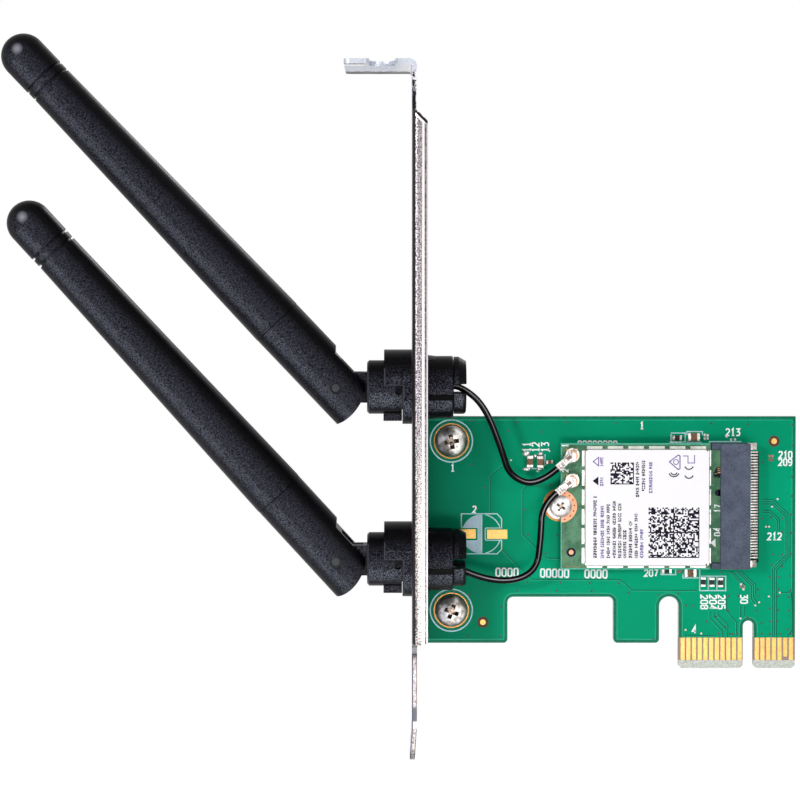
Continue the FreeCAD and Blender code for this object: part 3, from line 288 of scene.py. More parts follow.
def steel_sheet():
    """Plated sheet steel: smooth faces, and a speckled, sheared look on the narrow near and far sides."""
    made = Surface("bracket_plating", Metallic=0.75)
    mix, span, step, zone = made.mix, made.span, made.step, made.zone
    times, coats = made.times, made.coats
    crystals = made.noise(0.26, 3.0, 0.7)
    jagged = made.noise(0.9, 3.0, 0.6)
    x, y, z = [made.axis("Object", letter) for letter in "XYZ"]
    sideways = made.math("ABSOLUTE", made.axis("Normal", "Y"))
    smooth = mix(made.noise(1.2, 2.0, 0.5, (1, 0.3, 1)), (184, 188, 200), (206, 210, 222))
    # the tongue below the flanges: pale with a dark left line, and painted reflections at its bend, dark
    # above it and bright on it
    lean = made.math("MAXIMUM", made.math("SUBTRACT", -8.4 * MM, z), 0.0)
    across = made.math("ADD", x, times(lean, 0.067))
    tongue = coats(
        mix(span(made.noise(0.3, 2.0, 0.6, (1, 1, 0.6)), 0.35, 0.65), (110, 102, 100), (178, 173, 172)),
        (zone(-58.36, -57.9, across, 0.02), (104, 96, 92)),
        (zone(-8.6, -5.0, z, 0.2), (82, 86, 90)),
        (zone(-8.6, -7.5, z, 0.2), (206, 202, 202)),
        (zone(-59.6, -58.87, across, 0.03), (60, 60, 74)),
        (step(z, -14.1, -13.7, 0.8, 0.0), (98, 104, 104)),
        (times(zone(3.9, 4.9, z, 0.15), 0.8), (66, 50, 44)))
    # above the flanges: painted black at first, then in black and bright patches
    upper = coats(
        mix(span(jagged, 0.44, 0.56), (28, 24, 30), (238, 232, 238)),
        (times(zone(96.6, 99.2, z, 0.15), step(x, -58.5, -58.38, 1.0, 0.0)), (16, 12, 18)),
        (zone(-58.36, -58.1, x), (226, 220, 226)),
        (step(z, 103.2, 103.6), smooth))
    # speckled side of the flanges, paler towards the lower end, with lines along its edges and slant
    paler = coats(
        mix(span(crystals, 0.38, 0.54), (82, 72, 80), (204, 198, 193)),
        (times(zone(-58.7, -58.15, x, 0.2), span(crystals, 0.46, 0.58, 1.0, 0.0)), (66, 58, 64)))
    slant = made.math("ADD", x, z)
    upper_end = step(z, 94.2, 94.6)
    speckled = coats(
        mix(step(z, 30, 44), paler, mix(span(crystals, 0.44, 0.59), (70, 61, 70), (200, 193, 196))),
        (times(zone(6.3, 6.7, z, 0.1), zone(-58.3, -57.6, x)), (110, 112, 114)),
        (zone(-57.36, -56.97, x), (228, 224, 222)),
        (times(zone(-56.95, -56.62, x, 0.03), span(crystals, 0.36, 0.56, 1.0, 0.45)), (44, 34, 42)),
        (zone(-56.62, -56.0, x, 0.03), (190, 182, 188)),
        (times(upper_end, zone(37.2, 37.66, slant)), (250, 246, 244)),
        (times(upper_end, zone(37.72, 38.3, slant)), (22, 16, 22)),
        (step(z, 6.1, 6.3, 1.0, 0.0), tongue),
        (step(z, 96.5, 96.8), upper))
    # painted shade along the outer bend, then streaks painted under the tab in place of its reflections
    rolled = times(zone(-59.3, -58.5, x), span(sideways, 0.05, 0.12), zone(6.3, 96.7, z, 0.1))
    under = times(span(made.axis("Normal", "Z"), -0.9, -0.7, 1.0, 0.0), step(z, 104.0, 104.2))
    far = step(made.math("ADD", y, times(jagged, 3 * MM)), -0.1, 0.3)
    outer = step(x, -67.4, -66.6, 1.0, 0.0)
    colour = coats(
        mix(span(sideways, 0.45, 0.6), smooth, speckled),
        (rolled, mix(crystals, (30, 22, 26), (62, 54, 58))),
        (times(under, step(x, -62.2, -59.6), 0.8), (250, 248, 250)),
        (times(under, outer, zone(-15.0, -13.3, y, 0.2)), (110, 92, 90)),
        (times(under, outer, zone(-13.3, -11.4, y, 0.3)), (252, 250, 252)),
        (times(under, far), (10, 6, 12)))
    return made.finish(colour, 0.34, 0.46, made.noise(3.0), crystals, 0.35, 0.03)


def solder_mask():
    """Green mask on the board's two faces, and bare glass laminate on cut edges and round the contacts.

    The mask carries painted shade towards the bracket and the top edge.
    """
    made = Surface("board_mask", Specular_IOR_Level=0.03)
    weave = made.noise(0.6, 2.0, 0.5, (0.2, 1, 1))
    cloud = made.noise(14.0, 1.0)
    x, z = made.axis("Object", "X"), made.axis("Object", "Z")
    deep, painted_shade = (0, 150, 108), (0, 84, 58)
    mask = made.coats(made.mix(made.span(cloud, 0.3, 0.7), deep, (2, 166, 122)),
                      (made.span(weave, 0.45, 0.8, 0.0, 0.35), deep),
                      # painted shade towards the bracket and towards the top edge
                      (made.step(x, -56.5, -37, 0.75, 0.0), painted_shade),
                      (made.step(z, 30, 39, 0.0, 0.2), painted_shade))
    fibres = made.span(made.noise(0.5, 3.0, 0.65, (1, 1, 3)), 0.35, 0.65)
    bare = made.times(made.math("GREATER_THAN", x, -12.3 * MM), made.math("LESS_THAN", z, 5.42 * MM))
    # darker between the contacts, and dusty on the routed top edge
    glass = made.coats(made.mix(fibres, (176, 182, 172), (228, 232, 224)),
                       (made.times(bare, made.math("GREATER_THAN", z, 1.45 * MM), 0.8), (150, 120, 112)),
                       (made.span(made.axis("Normal", "Z"), 0.6, 0.8), (128, 108, 90)))
    on_face = made.math("GREATER_THAN", made.math("ABSOLUTE", made.axis("Normal", "Y")), 0.8)
    covered = made.times(on_face, made.math("SUBTRACT", 1.0, bare))
    return made.finish(made.mix(covered, glass, mask), 0.36, 0.46, cloud, weave, 0.1, 0.02)


def white_label():
    made = Surface("label_paper", Specular_IOR_Level=0.2)
    fibres = made.noise(0.3, 3.0)
    colour = made.mix(fibres, (246, 244, 248), (252, 250, 254))
    return made.finish(colour, 0.45, 0.55, made.noise(4.0), fibres, 0.08, 0.01)


def screw_plating(name, dome, sink, pale, rim):
    """Nickel with painted reflections as mottling and a dark rim, a painted highlight on the bevel, and
    painted shade in the cross recess below the head's dome.
    """
    low, middle = middle_of(name)
    made = Surface(name + "_nickel", Metallic=0.9)
    reflection_blots = made.noise(1.5, 2.0, 0.6)
    fine = made.noise(0.5, 3.0, 0.6)
    reach = made.reach(*middle)
    surface = made.times(reach, reach, 1 / (2 * dome * MM))
    depth = made.math("SUBTRACT", made.math("SUBTRACT", made.axis("Object", "Y"), low.y), surface)
    recess = made.times(made.step(depth, sink[0], sink[1]), made.math("LESS_THAN", reach, sink[2] * MM))
    bevel = made.times(made.step(reach, 0.5, 1.25, 0.85, 0.0), made.span(fine, 0.42, 0.56))
    recess_shade = made.mix(made.span(fine, 0.4, 0.62), (42, 34, 30), (168, 150, 138))
    colour = made.coats(made.mix(made.span(reflection_blots, 0.4, 0.58), *pale),
                        (made.span(fine, 0.52, 0.72, 0.0, 0.4), (112, 102, 96)),
                        (made.step(reach, *rim, 0.0, 0.7), (104, 92, 82)),
                        (bevel, (255, 253, 250)),
                        (recess, recess_shade))
    return made.finish(colour, 0.28, 0.4, fine, fine, 0.3, 0.03)


def module_mask():
    """Matt grey-green mask of the radio module, blotchy with the copper under it."""
    made = Surface("module_mask", Specular_IOR_Level=0.1)
    copper = made.noise(2.2, 3.0, 0.6)
    fine = made.noise(0.35, 2.0)
    face = made.coats(made.mix(made.span(copper, 0.4, 0.6), (66, 116, 88), (98, 146, 114)),
                      (made.span(fine, 0.5, 0.75, 0.0, 0.4), (116, 128, 96)))
    facing = made.span(made.math("ABSOLUTE", made.axis("Normal", "Y")), 0.7, 0.8)
    return made.finish(made.mix(facing, (40, 138, 108), face), 0.4, 0.5, copper, fine, 0.15, 0.015)


SURFACES = {
    "antenna_black": black_plastic("antenna_plastic", 0.17),
    "bracket_steel": steel_sheet(),
    "board_green": solder_mask(),
    "module_green": module_mask(),
    "label_white": white_label(),
    "screw_nickel": grained("screw_nickel", (150, 142, 132), (226, 220, 212), 0.4, (0.18, 0.3), (0.25, 0.03),
                            metal=0.9),
    "contact_gold": grained("gold_plating", (200, 146, 74), (232, 186, 104), 0.4, (0.3, 0.42), metal=0.6),
    "socket_black": grained("socket_moulding", (66, 74, 91), (92, 100, 117), 0.35, (0.5, 0.62), (0.25, 0.02),
                            specular=0.15),
    "tin_plate": grained("tin_plating", (120, 112, 106), (246, 240, 236), 0.3, (0.22, 0.36), (0.3, 0.02),
                         metal=0.8),
    "shield_steel": grained("shield_tin", (196, 200, 190), (240, 242, 236), 0.5, (0.25, 0.4), (0.35, 0.03),
                            metal=0.7),
    "chip_black": grained("chip_glaze", (14, 12, 13), (48, 40, 40), 0.25, (0.3, 0.45), (0.15, 0.01), 0.2),
    "chip_tan": grained("chip_ceramic", (92, 66, 46), (150, 116, 90), 0.25, (0.45, 0.6), (0.15, 0.01), 0.2),
    "pin_black": grained("pin_moulding", (10, 10, 12), (26, 26, 30), 0.3, (0.3, 0.4), specular=0.2),
    "coax_black": coax_jacket(),
    "radiator_brass": grained("drawn_brass", (176, 134, 62), (210, 170, 92), 0.5, (0.25, 0.4), (0.1, 0.01),
                              metal=1.0),
    "coax_inner": grained("dielectric", (198, 198, 194), (226, 226, 222), 0.4, (0.4, 0.5), (0.1, 0.01)),
}
# painted highlights along the mouldings' edges, and a painted glint on each antenna tip
EDGE_HIGHLIGHT = (62, 63, 70)
TIP_GLINT = (150, 152, 162)
OWN_SURFACES = {
    "module_screw": screw_plating("module_screw", 4.0, (0.06, 0.15, 1.3),
                                  ((186, 182, 180), (252, 250, 250)), (1.35, 1.7)),
}
for side, axis_z, tip in [("upper", 49.64, (-126.2, 107.4)), ("lower", 19.92, (-125.1, 78.75))]:
    OWN_SURFACES["board_screw_" + side] = screw_plating("board_screw_" + side, 3.27, (0.06, 0.2, 1.7),
                                                        ((160, 150, 142), (252, 248, 244)), (2.15, 2.5))
    # holder: the near-black line is painted shade in the groove below the axis, the pale lines painted
    # highlights
    OWN_SURFACES["antenna_holder_" + side] = black_plastic("holder_plastic_" + side, 0.08, [
        (-63.9, -63.6, axis_z + 0.4, axis_z + 3.4, EDGE_HIGHLIGHT),
        (-63.9, -60.6, axis_z + 0.4, axis_z + 0.62, EDGE_HIGHLIGHT),
        (-60.62, -60.38, axis_z - 5.6, axis_z + 0.5, EDGE_HIGHLIGHT),
        (-58.3, -51.0, axis_z - 2.16, axis_z - 1.09, (2, 2, 3)),
    ])
    # swivel base: the pale line is a painted highlight, and the dark spot painted shade over the drain hole
    OWN_SURFACES["swivel_base_" + side] = black_plastic("swivel_plastic_" + side, 0.09, [
        (-66.72, -66.42, axis_z - 5.2, axis_z + 3.0, EDGE_HIGHLIGHT),
    ], [(-61.3, axis_z - 0.3, 1.0, (0, 0, 1))])
    OWN_SURFACES["hinge_pins_" + side] = hinge_pin(side)
    # cover: the pale spot at the tip is a painted glint
    OWN_SURFACES["antenna_cover_" + side] = black_plastic("cover_plastic_" + side, 0.17,
                                                          spots=[(*tip, 1.1, TIP_GLINT)])

SLOT_OF = {row["node"]: row["material_slot"] for row in frame["record"]["subparts"]}
for node_name, node_object in frame["nodes"].items():
    node_object.data.materials.clear()
    own = OWN_SURFACES.get(node_name, SURFACES[SLOT_OF[node_name]])
    node_object.data.materials.append(own.material)


# Camera, then the two free leads

bpy.context.scene.view_settings.view_transform = "Standard"
add_camera()

LEAD_DIAMETER = 1.13
LEAD_ROUTES = {
    "upper": [
        (-65.4, -6.45, 49.64), (-52.91, -6.45, 49.8), (-50.54, -6.45, 49.75),
        (-46.52, -6.4, 46.47), (-43.52, -6.2, 38.83), (-42.17, -5.6, 34.18),
        (-37.4, -4.8, 32.31), (-33.73, -4.5, 35.44),
    ],
    "lower": [
        (-65.4, -6.45, 19.92), (-54.83, -6.45, 19.92), (-44.63, -6.3, 15.56),
        (-37.53, -6, 17.16), (-36.69, -5.6, 23.77), (-36.5, -4.95, 29),
        (-33.87, -4.5, 31.18),
    ],
}


def coax_lead(side):
    """Thin round lead as one smooth spline along the route's points."""
    data = bpy.data.curves.new("coax_" + side, "CURVE")
    data.dimensions = "3D"
    data.bevel_depth = LEAD_DIAMETER / 2 * MM
    data.bevel_resolution = 6
    data.resolution_u = 24
    data.use_fill_caps = True
    spline = data.splines.new("NURBS")
    route = LEAD_ROUTES[side]
    spline.points.add(len(route) - 1)
    for point, corner in zip(spline.points, route):
        point.co = [value * MM for value in corner] + [1.0]
    spline.order_u = 3
    spline.use_endpoint_u = True
    lead = add_object("coax_" + side, data)
    data.materials.append(SURFACES["coax_black"].material)
    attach(lead, CARD)
    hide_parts("coax_lead_" + side)


for lead_side in LEAD_ROUTES:
    coax_lead(lead_side)


# Thin printed, plated and etched shapes

def offset_line(points, reach, closed):
    """Line beside a polyline, reach to its left, with mitred corners."""
    count = len(points)
    line = []
    for index, (x, z) in enumerate(points):
        normals = []
        for first, second in [(index - 1, index), (index, index + 1)]:
            if closed or (first >= 0 and second < count):
                ax, az = points[first % count]
                bx, bz = points[second % count]
                length = math.hypot(bx - ax, bz - az)
                normals.append(((az - bz) / length, (bx - ax) / length))
        nx = sum(normal[0] for normal in normals)
        nz = sum(normal[1] for normal in normals)
        scale = len(normals) * reach / (nx * nx + nz * nz)
        line.append((x + nx * scale, z + nz * scale))
    return line


def arc(centre, radius, start, end, steps=12):
    """Points of an arc, angles in degrees from +X towards +Z."""
    points = []
    for index in range(steps + 1):
        angle = math.radians(start + (end - start) * index / steps)
        points.append((centre[0] + radius * math.cos(angle), centre[1] + radius * math.sin(angle)))
    return points


def add_piece(mesh, name, surface):
    """Make a mesh a piece that rides on the card."""
    data = bpy.data.meshes.new(name)
    mesh.to_mesh(data)
    mesh.free()
    data.materials.append(surface.material)
    made = add_object(name, data)
    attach(made, CARD)


class Layer:
    """Thin closed shapes on a face that looks along -Y, or along +Y with side 1."""

    def __init__(self, face, height, side=-1):
        self.mesh = bmesh.new()
        self.face = face
        self.bottom = face - side * ROOT
        self.top = face + side * height

    def ring_of(self, points, level):
        return [self.mesh.verts.new((x * MM, level * MM, z * MM)) for x, z in points]

    def polygon(self, points):
        bottom = self.ring_of(points, self.bottom)
        top = self.ring_of(points, self.top)
        self.mesh.faces.new(bottom)
        self.mesh.faces.new(top)
        for index in range(len(points)):
            following = (index + 1) % len(points)
            self.mesh.faces.new((bottom[index], bottom[following], top[following], top[index]))

    def band(self, first, second, closed):
        """Solid between two lines of as many points."""
        rails = [self.ring_of(line, level) for line, level in
                 [(first, self.bottom), (second, self.bottom), (second, self.top), (first, self.top)]]
        count = len(first)
        for index in range(count if closed else count - 1):
            following = (index + 1) % count
            for rail in range(4):
                one, two = rails[rail], rails[(rail + 1) % 4]
                self.mesh.faces.new((one[index], one[following], two[following], two[index]))
        if not closed:
            for index in (0, count - 1):
                self.mesh.faces.new([rail[index] for rail in rails])

    def strip(self, points, width, closed=False):
        self.band(offset_line(points, width / 2, closed), offset_line(points, -width / 2, closed), closed)

    def beside(self, points, near, far):
        """Band from near to far on the left of an open line."""
        self.band(offset_line(points, near, False), offset_line(points, far, False), False)

    def ring(self, centre, outer, inner, start=0.0, end=360.0, steps=48):
        if end - start >= 360:
            self.band(arc(centre, outer, 0, 360 - 360 / steps, steps - 1),
                      arc(centre, inner, 0, 360 - 360 / steps, steps - 1), True)
        else:
            self.band(arc(centre, outer, start, end, steps), arc(centre, inner, start, end, steps), False)

    def disc(self, centre, radius, steps=16):
        self.polygon(arc(centre, radius, 0, 360 - 360 / steps, steps - 1))

    def rectangle(self, low, high):
        self.polygon([(low[0], low[1]), (high[0], low[1]), (high[0], high[1]), (low[0], high[1])])

    def bar(self, left, top, right, bottom):
        """Rectangle between two pixels' places on the layer's face."""
        self.rectangle(at(left, bottom, self.face), at(right, top, self.face))

    def piece(self, name, surface, slot):
        bmesh.ops.recalc_face_normals(self.mesh, faces=self.mesh.faces)
        add_piece(self.mesh, name, surface)


def dots(name, surface, slot, height, centres, radius, steps, face=BOARD_FRONT, side=-1):
    """Discs of one size as one piece."""
    layer = Layer(face, height, side)
    for centre in centres:
        layer.disc(centre, radius, steps)
    layer.piece(name, surface, slot)


def pads(name, surface, slot, centres, half_x, half_z):
    """Rectangles of one size on the board as one piece."""
    layer = Layer(BOARD_FRONT, 0.05)
    for x, z in centres:
        layer.rectangle((x - half_x, z - half_z), (x + half_x, z + half_z))
    layer.piece(name, surface, slot)


SILK = grained("silk_ink", (236, 248, 250), (254, 255, 255), 0.3, (0.5, 0.6), specular=0.1)
LINE_SILK = grained("line_silk_ink", (168, 210, 222), (200, 232, 238), 0.3, (0.5, 0.6), specular=0.1)
PALE_SILK = grained("pale_silk_ink", (160, 190, 204), (186, 208, 220), 0.3, (0.5, 0.6), specular=0.1)
# traces under the mask, drawn darker with painted shade of their raised sides
TRACE = grained("masked_trace", (0, 92, 70), (2, 110, 82), 0.6, (0.3, 0.4), (0.1, 0.01), 0.08)
# painted highlight along raised copper edges under the mask
LIT_EDGE = grained("painted_highlight_over_copper_edge", (24, 168, 128), (50, 184, 146), 0.6, (0.3, 0.4), (0.1, 0.01), 0.1)
KEEPOUT = grained("masked_laminate", (0, 106, 78), (4, 126, 94), 0.8, (0.3, 0.4), (0.1, 0.01), 0.08)
VIA = grained("via_plating", (30, 36, 34), (88, 92, 84), 0.12, (0.35, 0.5), specular=0.2)
BRIGHT_VIA = grained("bright_via_plating", (206, 186, 184), (246, 236, 236), 0.15, (0.3, 0.4))
DARK_RING = grained("bare_laminate", (70, 54, 46), (100, 80, 70), 0.2, (0.5, 0.6), specular=0.1)
BROWN_PAD = grained("etched_pad", (96, 70, 60), (176, 150, 136), 0.15, (0.4, 0.5), specular=0.2)
SHADE_GREEN = grained("mask_in_gap", (8, 44, 34), (16, 66, 50), 0.3, (0.4, 0.5), (0.1, 0.01), 0.05)
# painted shade in creases, small holes and gaps between parts
DARK_METAL = grained("painted_gap_shade", (40, 36, 34), (128, 118, 110), 0.2, (0.3, 0.45), specular=0.2)
PAD_GOLD = grained("pad_gold", (196, 150, 70), (226, 184, 104), 0.4, (0.35, 0.45), metal=0.5)
DARK_GOLD = grained("worn_gold", (150, 92, 34), (216, 150, 76), 0.25, (0.3, 0.45), metal=0.5)
COPPER = grained("copper_pad", (240, 150, 112), (252, 180, 138), 0.3, (0.4, 0.5), metal=0.2)
RUST_DOT = grained("pad_hole", (120, 34, 22), (150, 52, 34), 0.2, (0.5, 0.6))
TEAL = grained("module_rim", (34, 150, 124), (60, 176, 148), 0.4, (0.35, 0.45), (0.1, 0.01))
INK = grained("label_ink", (14, 8, 22), (34, 24, 48), 0.3, (0.5, 0.6), (0.05, 0.005), 0.1)
VIOLET_INK = grained("violet_ink", (92, 66, 140), (122, 96, 168), 0.3, (0.5, 0.6), (0.05, 0.005), 0.1)
DARK_BLUE = grained("dark_land", (12, 14, 30), (40, 40, 62), 0.2, (0.4, 0.5), (0.1, 0.01), 0.1)
BROWN_LINE = grained("thin_copper_line", (140, 106, 64), (180, 142, 92), 0.3, (0.4, 0.5), (0.1, 0.01), 0.1)
SOLDER = grained("solder", (196, 196, 194), (244, 244, 240), 0.25, (0.15, 0.3), (0.6, 0.04), metal=0.85)

SCREW_PLACES = [(-52.1, 39.95), (-52.1, 10.23)]
MODULE_SCREW = (-33.14, 28.75)
BOARD_LOW, BOARD_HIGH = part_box("main_board")
BOARD_LEFT = BOARD_LOW.x / MM
BOARD_RIGHT = BOARD_HIGH.x / MM
BOARD_TOP = BOARD_HIGH.z / MM
FIGURE_LINES = {
    "0": [[(0.2, 0), (0, 0.3), (0, 1.7), (0.2, 2), (0.8, 2), (1, 1.7), (1, 0.3), (0.8, 0), (0.25, 0)]],
    "1": [[(0.2, 1.6), (0.55, 2), (0.55, 0)], [(0.15, 0), (0.95, 0)]],
    "2": [[(0, 1.6), (0.2, 2), (0.8, 2), (1, 1.7), (1, 1.2), (0, 0), (1, 0)]],
    "3": [[(0, 2), (1, 2), (0.5, 1.15), (0.85, 1.1), (1, 0.8), (1, 0.3), (0.8, 0), (0, 0)]],
    "4": [[(0.8, 0), (0.8, 2), (0, 0.6), (1.05, 0.6)]],
    "5": [[(1, 2), (0, 2), (0, 1.15), (0.8, 1.15), (1, 0.85), (1, 0.3), (0.8, 0), (0, 0)]],
    "6": [[(0.9, 2), (0.3, 2), (0, 1.5), (0, 0.3), (0.2, 0), (0.8, 0), (1, 0.3), (1, 0.9),
           (0.8, 1.1), (0.1, 1.1)]],
    "7": [[(0, 2), (1, 2), (0.4, 0)]],
    "8": [[(0.2, 1.1), (0, 1.35), (0, 1.8), (0.2, 2), (0.8, 2), (1, 1.8), (1, 1.35), (0.8, 1.1), (0.2, 1.1),
           (0, 0.8), (0, 0.2), (0.2, 0), (0.8, 0), (1, 0.2), (1, 0.8), (0.85, 1.05)]],
    "9": [[(0.1, 0), (0.7, 0), (1, 0.5), (1, 1.7), (0.8, 2), (0.2, 2), (0, 1.7), (0, 1.1),
           (0.2, 0.9), (0.95, 0.9)]],
}


def figures(layer, text, column, row, height, turn=0, width=0.24, depth=BOARD_FRONT):
    """Plain figures whose middle shows at a pixel; height in millimetres, turn in degrees."""
    middle = at(column, row, depth)
    scale = height / 2
    advance = 1.55
    start = -(advance * (len(text) - 1) + 1) / 2
    across = math.cos(math.radians(turn))
    along = math.sin(math.radians(turn))
    for index, letter in enumerate(text):
        for line in FIGURE_LINES[letter]:
            points = []
            for u, v in line:
                u = (start + index * advance + u) * scale
                v = (v - 1) * scale
                points.append((middle[0] + u * across - v * along, middle[1] + u * along + v * across))
            layer.strip(points, width)


def board_outline():
    """Board's outline from the right end of the edge connector round to its left end."""
    points = [(BOARD_RIGHT, 5.5), (BOARD_RIGHT, BOARD_TOP), (BOARD_LEFT, BOARD_TOP), (BOARD_LEFT, 4.5)]
    for corner in [
        ((-42.95, 5.2), 0.7, 270, 360, 6), ((-41.25, 11.6), 1, 180, 90, 6), ((-24.65, 11.6), 1, 90, 0, 6),
        ((-22.95, 5.2), 0.7, 180, 270, 6), ((-16.35, 5.2), 0.7, 270, 360, 6),
        ((-13.925, 10.925), 1.725, 180, 0, 20),
    ]:
        points += arc(*corner)
    return points + [(-12.2, 5.5)]


def keepouts():
    """Mask with no copper under it along the board's edges and round its screws, a painted highlight along
    the copper's raised edge beside it, and painted shade between the socket's contact feet.
    """
    dark = Layer(BOARD_FRONT, 0.006)
    pale = Layer(BOARD_FRONT, 0.012)
    key = [(-0.95, 5.5)] + arc((0, 7.45), 0.95, 180, 0, 16) + [(0.95, 5.5)]
    for line in [board_outline(), key]:
        dark.beside(line, 0.02, 0.54)
        pale.beside(line, 0.55, 0.68)
    for centre in SCREW_PLACES:
        dark.ring(centre, 3.5, 2.6)
    dark.piece("board_keepout", KEEPOUT, "board_green")
    pale.piece("board_copper_edge_highlights", LIT_EDGE, "board_green")
    # painted shade between the socket's contact feet
    gap = Layer(BOARD_FRONT, 0.01)
    gap.bar(751, 451.5, 758.9, 562.5)
    gap.piece("socket_gap_shade", SHADE_GREEN, "board_green")


TRACES = [
    [(502.5, 466), (490.6, 476), (490.6, 514)],
    [(541.6, 486), (526, 486), (522.8, 491), (522.8, 534.7), (530.6, 542.5), (543, 555)],
    [(544.6, 556), (546.6, 558.2), (561, 558.6)],
    [(502.5, 550.3), (527.5, 575.3), (532.5, 579.4), (620.3, 579.7), (632, 590.2), (697, 590.6)],
    [(762, 501.8), (772.5, 501.8), (787.8, 516.1), (787.8, 555.4), (774.2, 569.5), (774.2, 637)],
    [(762, 504), (771.6, 504), (785.9, 517.2), (785.9, 554.6), (772.3, 568.7), (772.3, 637)],
    [(762, 499.6), (773.4, 499.6), (789.9, 515.2), (789.9, 556.2), (776.3, 570.3), (776.3, 637)],
    [(762, 510.4), (770.1, 510.4), (779.2, 519), (779.2, 531.4)],
    [(762, 512.4), (769.2, 512.4), (777.2, 519.8), (777.2, 531.4)],
    [(780, 593), (791, 592), (792.6, 600), (792.6, 630), (787, 636)],
    [(729, 571), (743, 585.4)],
    [(731.4, 571), (745.4, 585.4)],
    [(736, 571), (751.2, 585.8), (751.2, 598.6), (755, 604.6)],
    [(738.4, 571), (753.4, 585.2), (753.4, 597.8), (757.4, 602.4)],
    [(740.8, 571), (755.6, 584.6), (755.6, 594)],
    [(709.9, 611), (709.9, 618.2), (722.1, 631), (722.1, 637.4)],
    [(714, 612), (714, 617.1), (727.2, 630), (727.2, 637.4)],
    [(718, 611), (718, 615), (727.8, 624.8), (727.8, 628)],
    [(726.7, 594.7), (726.7, 611), (736.4, 622.2), (736.4, 635.5)],
    [(740.5, 606), (740.5, 618.2)],
    [(744.1, 606), (744.1, 615.4)],
    [(684.5, 635.6), (715.5, 635.6)],
    [(665, 442), (671, 436)],
]
VIAS = [
    (541, 432), (566.8, 422), (615.9, 423), (560.6, 582.5), (589.7, 583), (618.3, 583.4), (527.4, 582),
    (516.6, 590.4), (556.6, 590.8), (591.6, 591.2), (628.3, 592.8), (659.4, 594.9), (678, 593.7),
    (471.9, 421), (516.3, 421.8), (508.4, 431), (471.6, 464.8), (484.6, 487.6), (524.6, 509.7),
    (528, 534.9), (550.5, 484.7), (557.3, 535.4), (545.8, 553.2), (469.4, 594.4), (501.4, 607),
    (467.8, 636.2), (500.2, 636), (685.9, 605.6), (692.8, 605.9), (718.4, 633.5), (706.3, 621.4),
    (715.8, 616.4), (725.4, 627), (653.1, 638.6), (657.3, 612.8), (729.8, 634), (732.7, 634),
    (737.4, 633.3), (747.4, 617.4), (761.4, 622.8), (770.1, 621.4), (777.2, 621.4), (761.4, 634),
    (769.6, 634), (780.3, 634), (790.5, 634), (787.7, 629.4), (769.6, 608.5), (777.8, 610), (789, 610.7),
    (756, 611), (777.8, 596.4), (789, 596.9), (778.3, 589.3), (790.6, 590.3), (769.6, 577.3), (779, 577),
    (789.8, 576), (771.6, 564.8), (782.3, 566.6), (728.8, 610.5), (728.8, 596.2), (738.3, 595.9),
    (757.7, 589.3), (757.7, 596.2), (721.6, 572.4), (792.6, 445.3), (792.2, 476.6), (792, 496),
    (791, 514.5), (782.7, 518.2), (771, 517.3), (762.4, 518.5), (791, 532.9), (782, 531.9), (791, 553.9),
    (782, 554.7), (772.8, 554.4), (762.9, 462), (711, 423.4), (747.6, 424.2), (792.6, 424.6),
]
BRIGHT_VIAS = [
    (777.6, 499.1), (772.2, 506.7), (768.9, 596.4), (685.6, 629.9), (701.2, 633.5), (766, 526.7),
    (769.1, 526.7), (537.6, 471.2), (779.8, 592.7), (755.3, 605.4), (759.2, 602.3), (740.4, 618.4),
    (511, 460.2),
]


def traces_and_vias():
    """Traces, drawn darker with painted shade of their raised sides and with a painted highlight line beside
    each, and plated holes, on both faces.
    """
    for name, face, side in [("front", BOARD_FRONT, -1), ("back", BOARD_BACK, 1)]:
        traces = Layer(face, 0.012, side)
        pale = Layer(face, 0.012, side)
        for line in TRACES if side < 0 else TRACES[::3]:
            points = places(line)
            traces.strip(points, 0.15)
            pale.beside(points, -0.11, -0.19)
        traces.piece("board_traces_" + name, TRACE, "board_green")
        pale.piece("board_trace_edge_highlights_" + name, LIT_EDGE, "board_green")
        for title, surface, slot, holes, radius, steps in [
            ("board_vias_", VIA, "contact_gold", VIAS, 0.19, 12),
            ("board_bright_vias_", BRIGHT_VIA, "tin_plate", BRIGHT_VIAS, 0.17, 14),
        ]:
            dots(title + name, surface, slot, 0.015, places(holes), radius, steps, face, side)


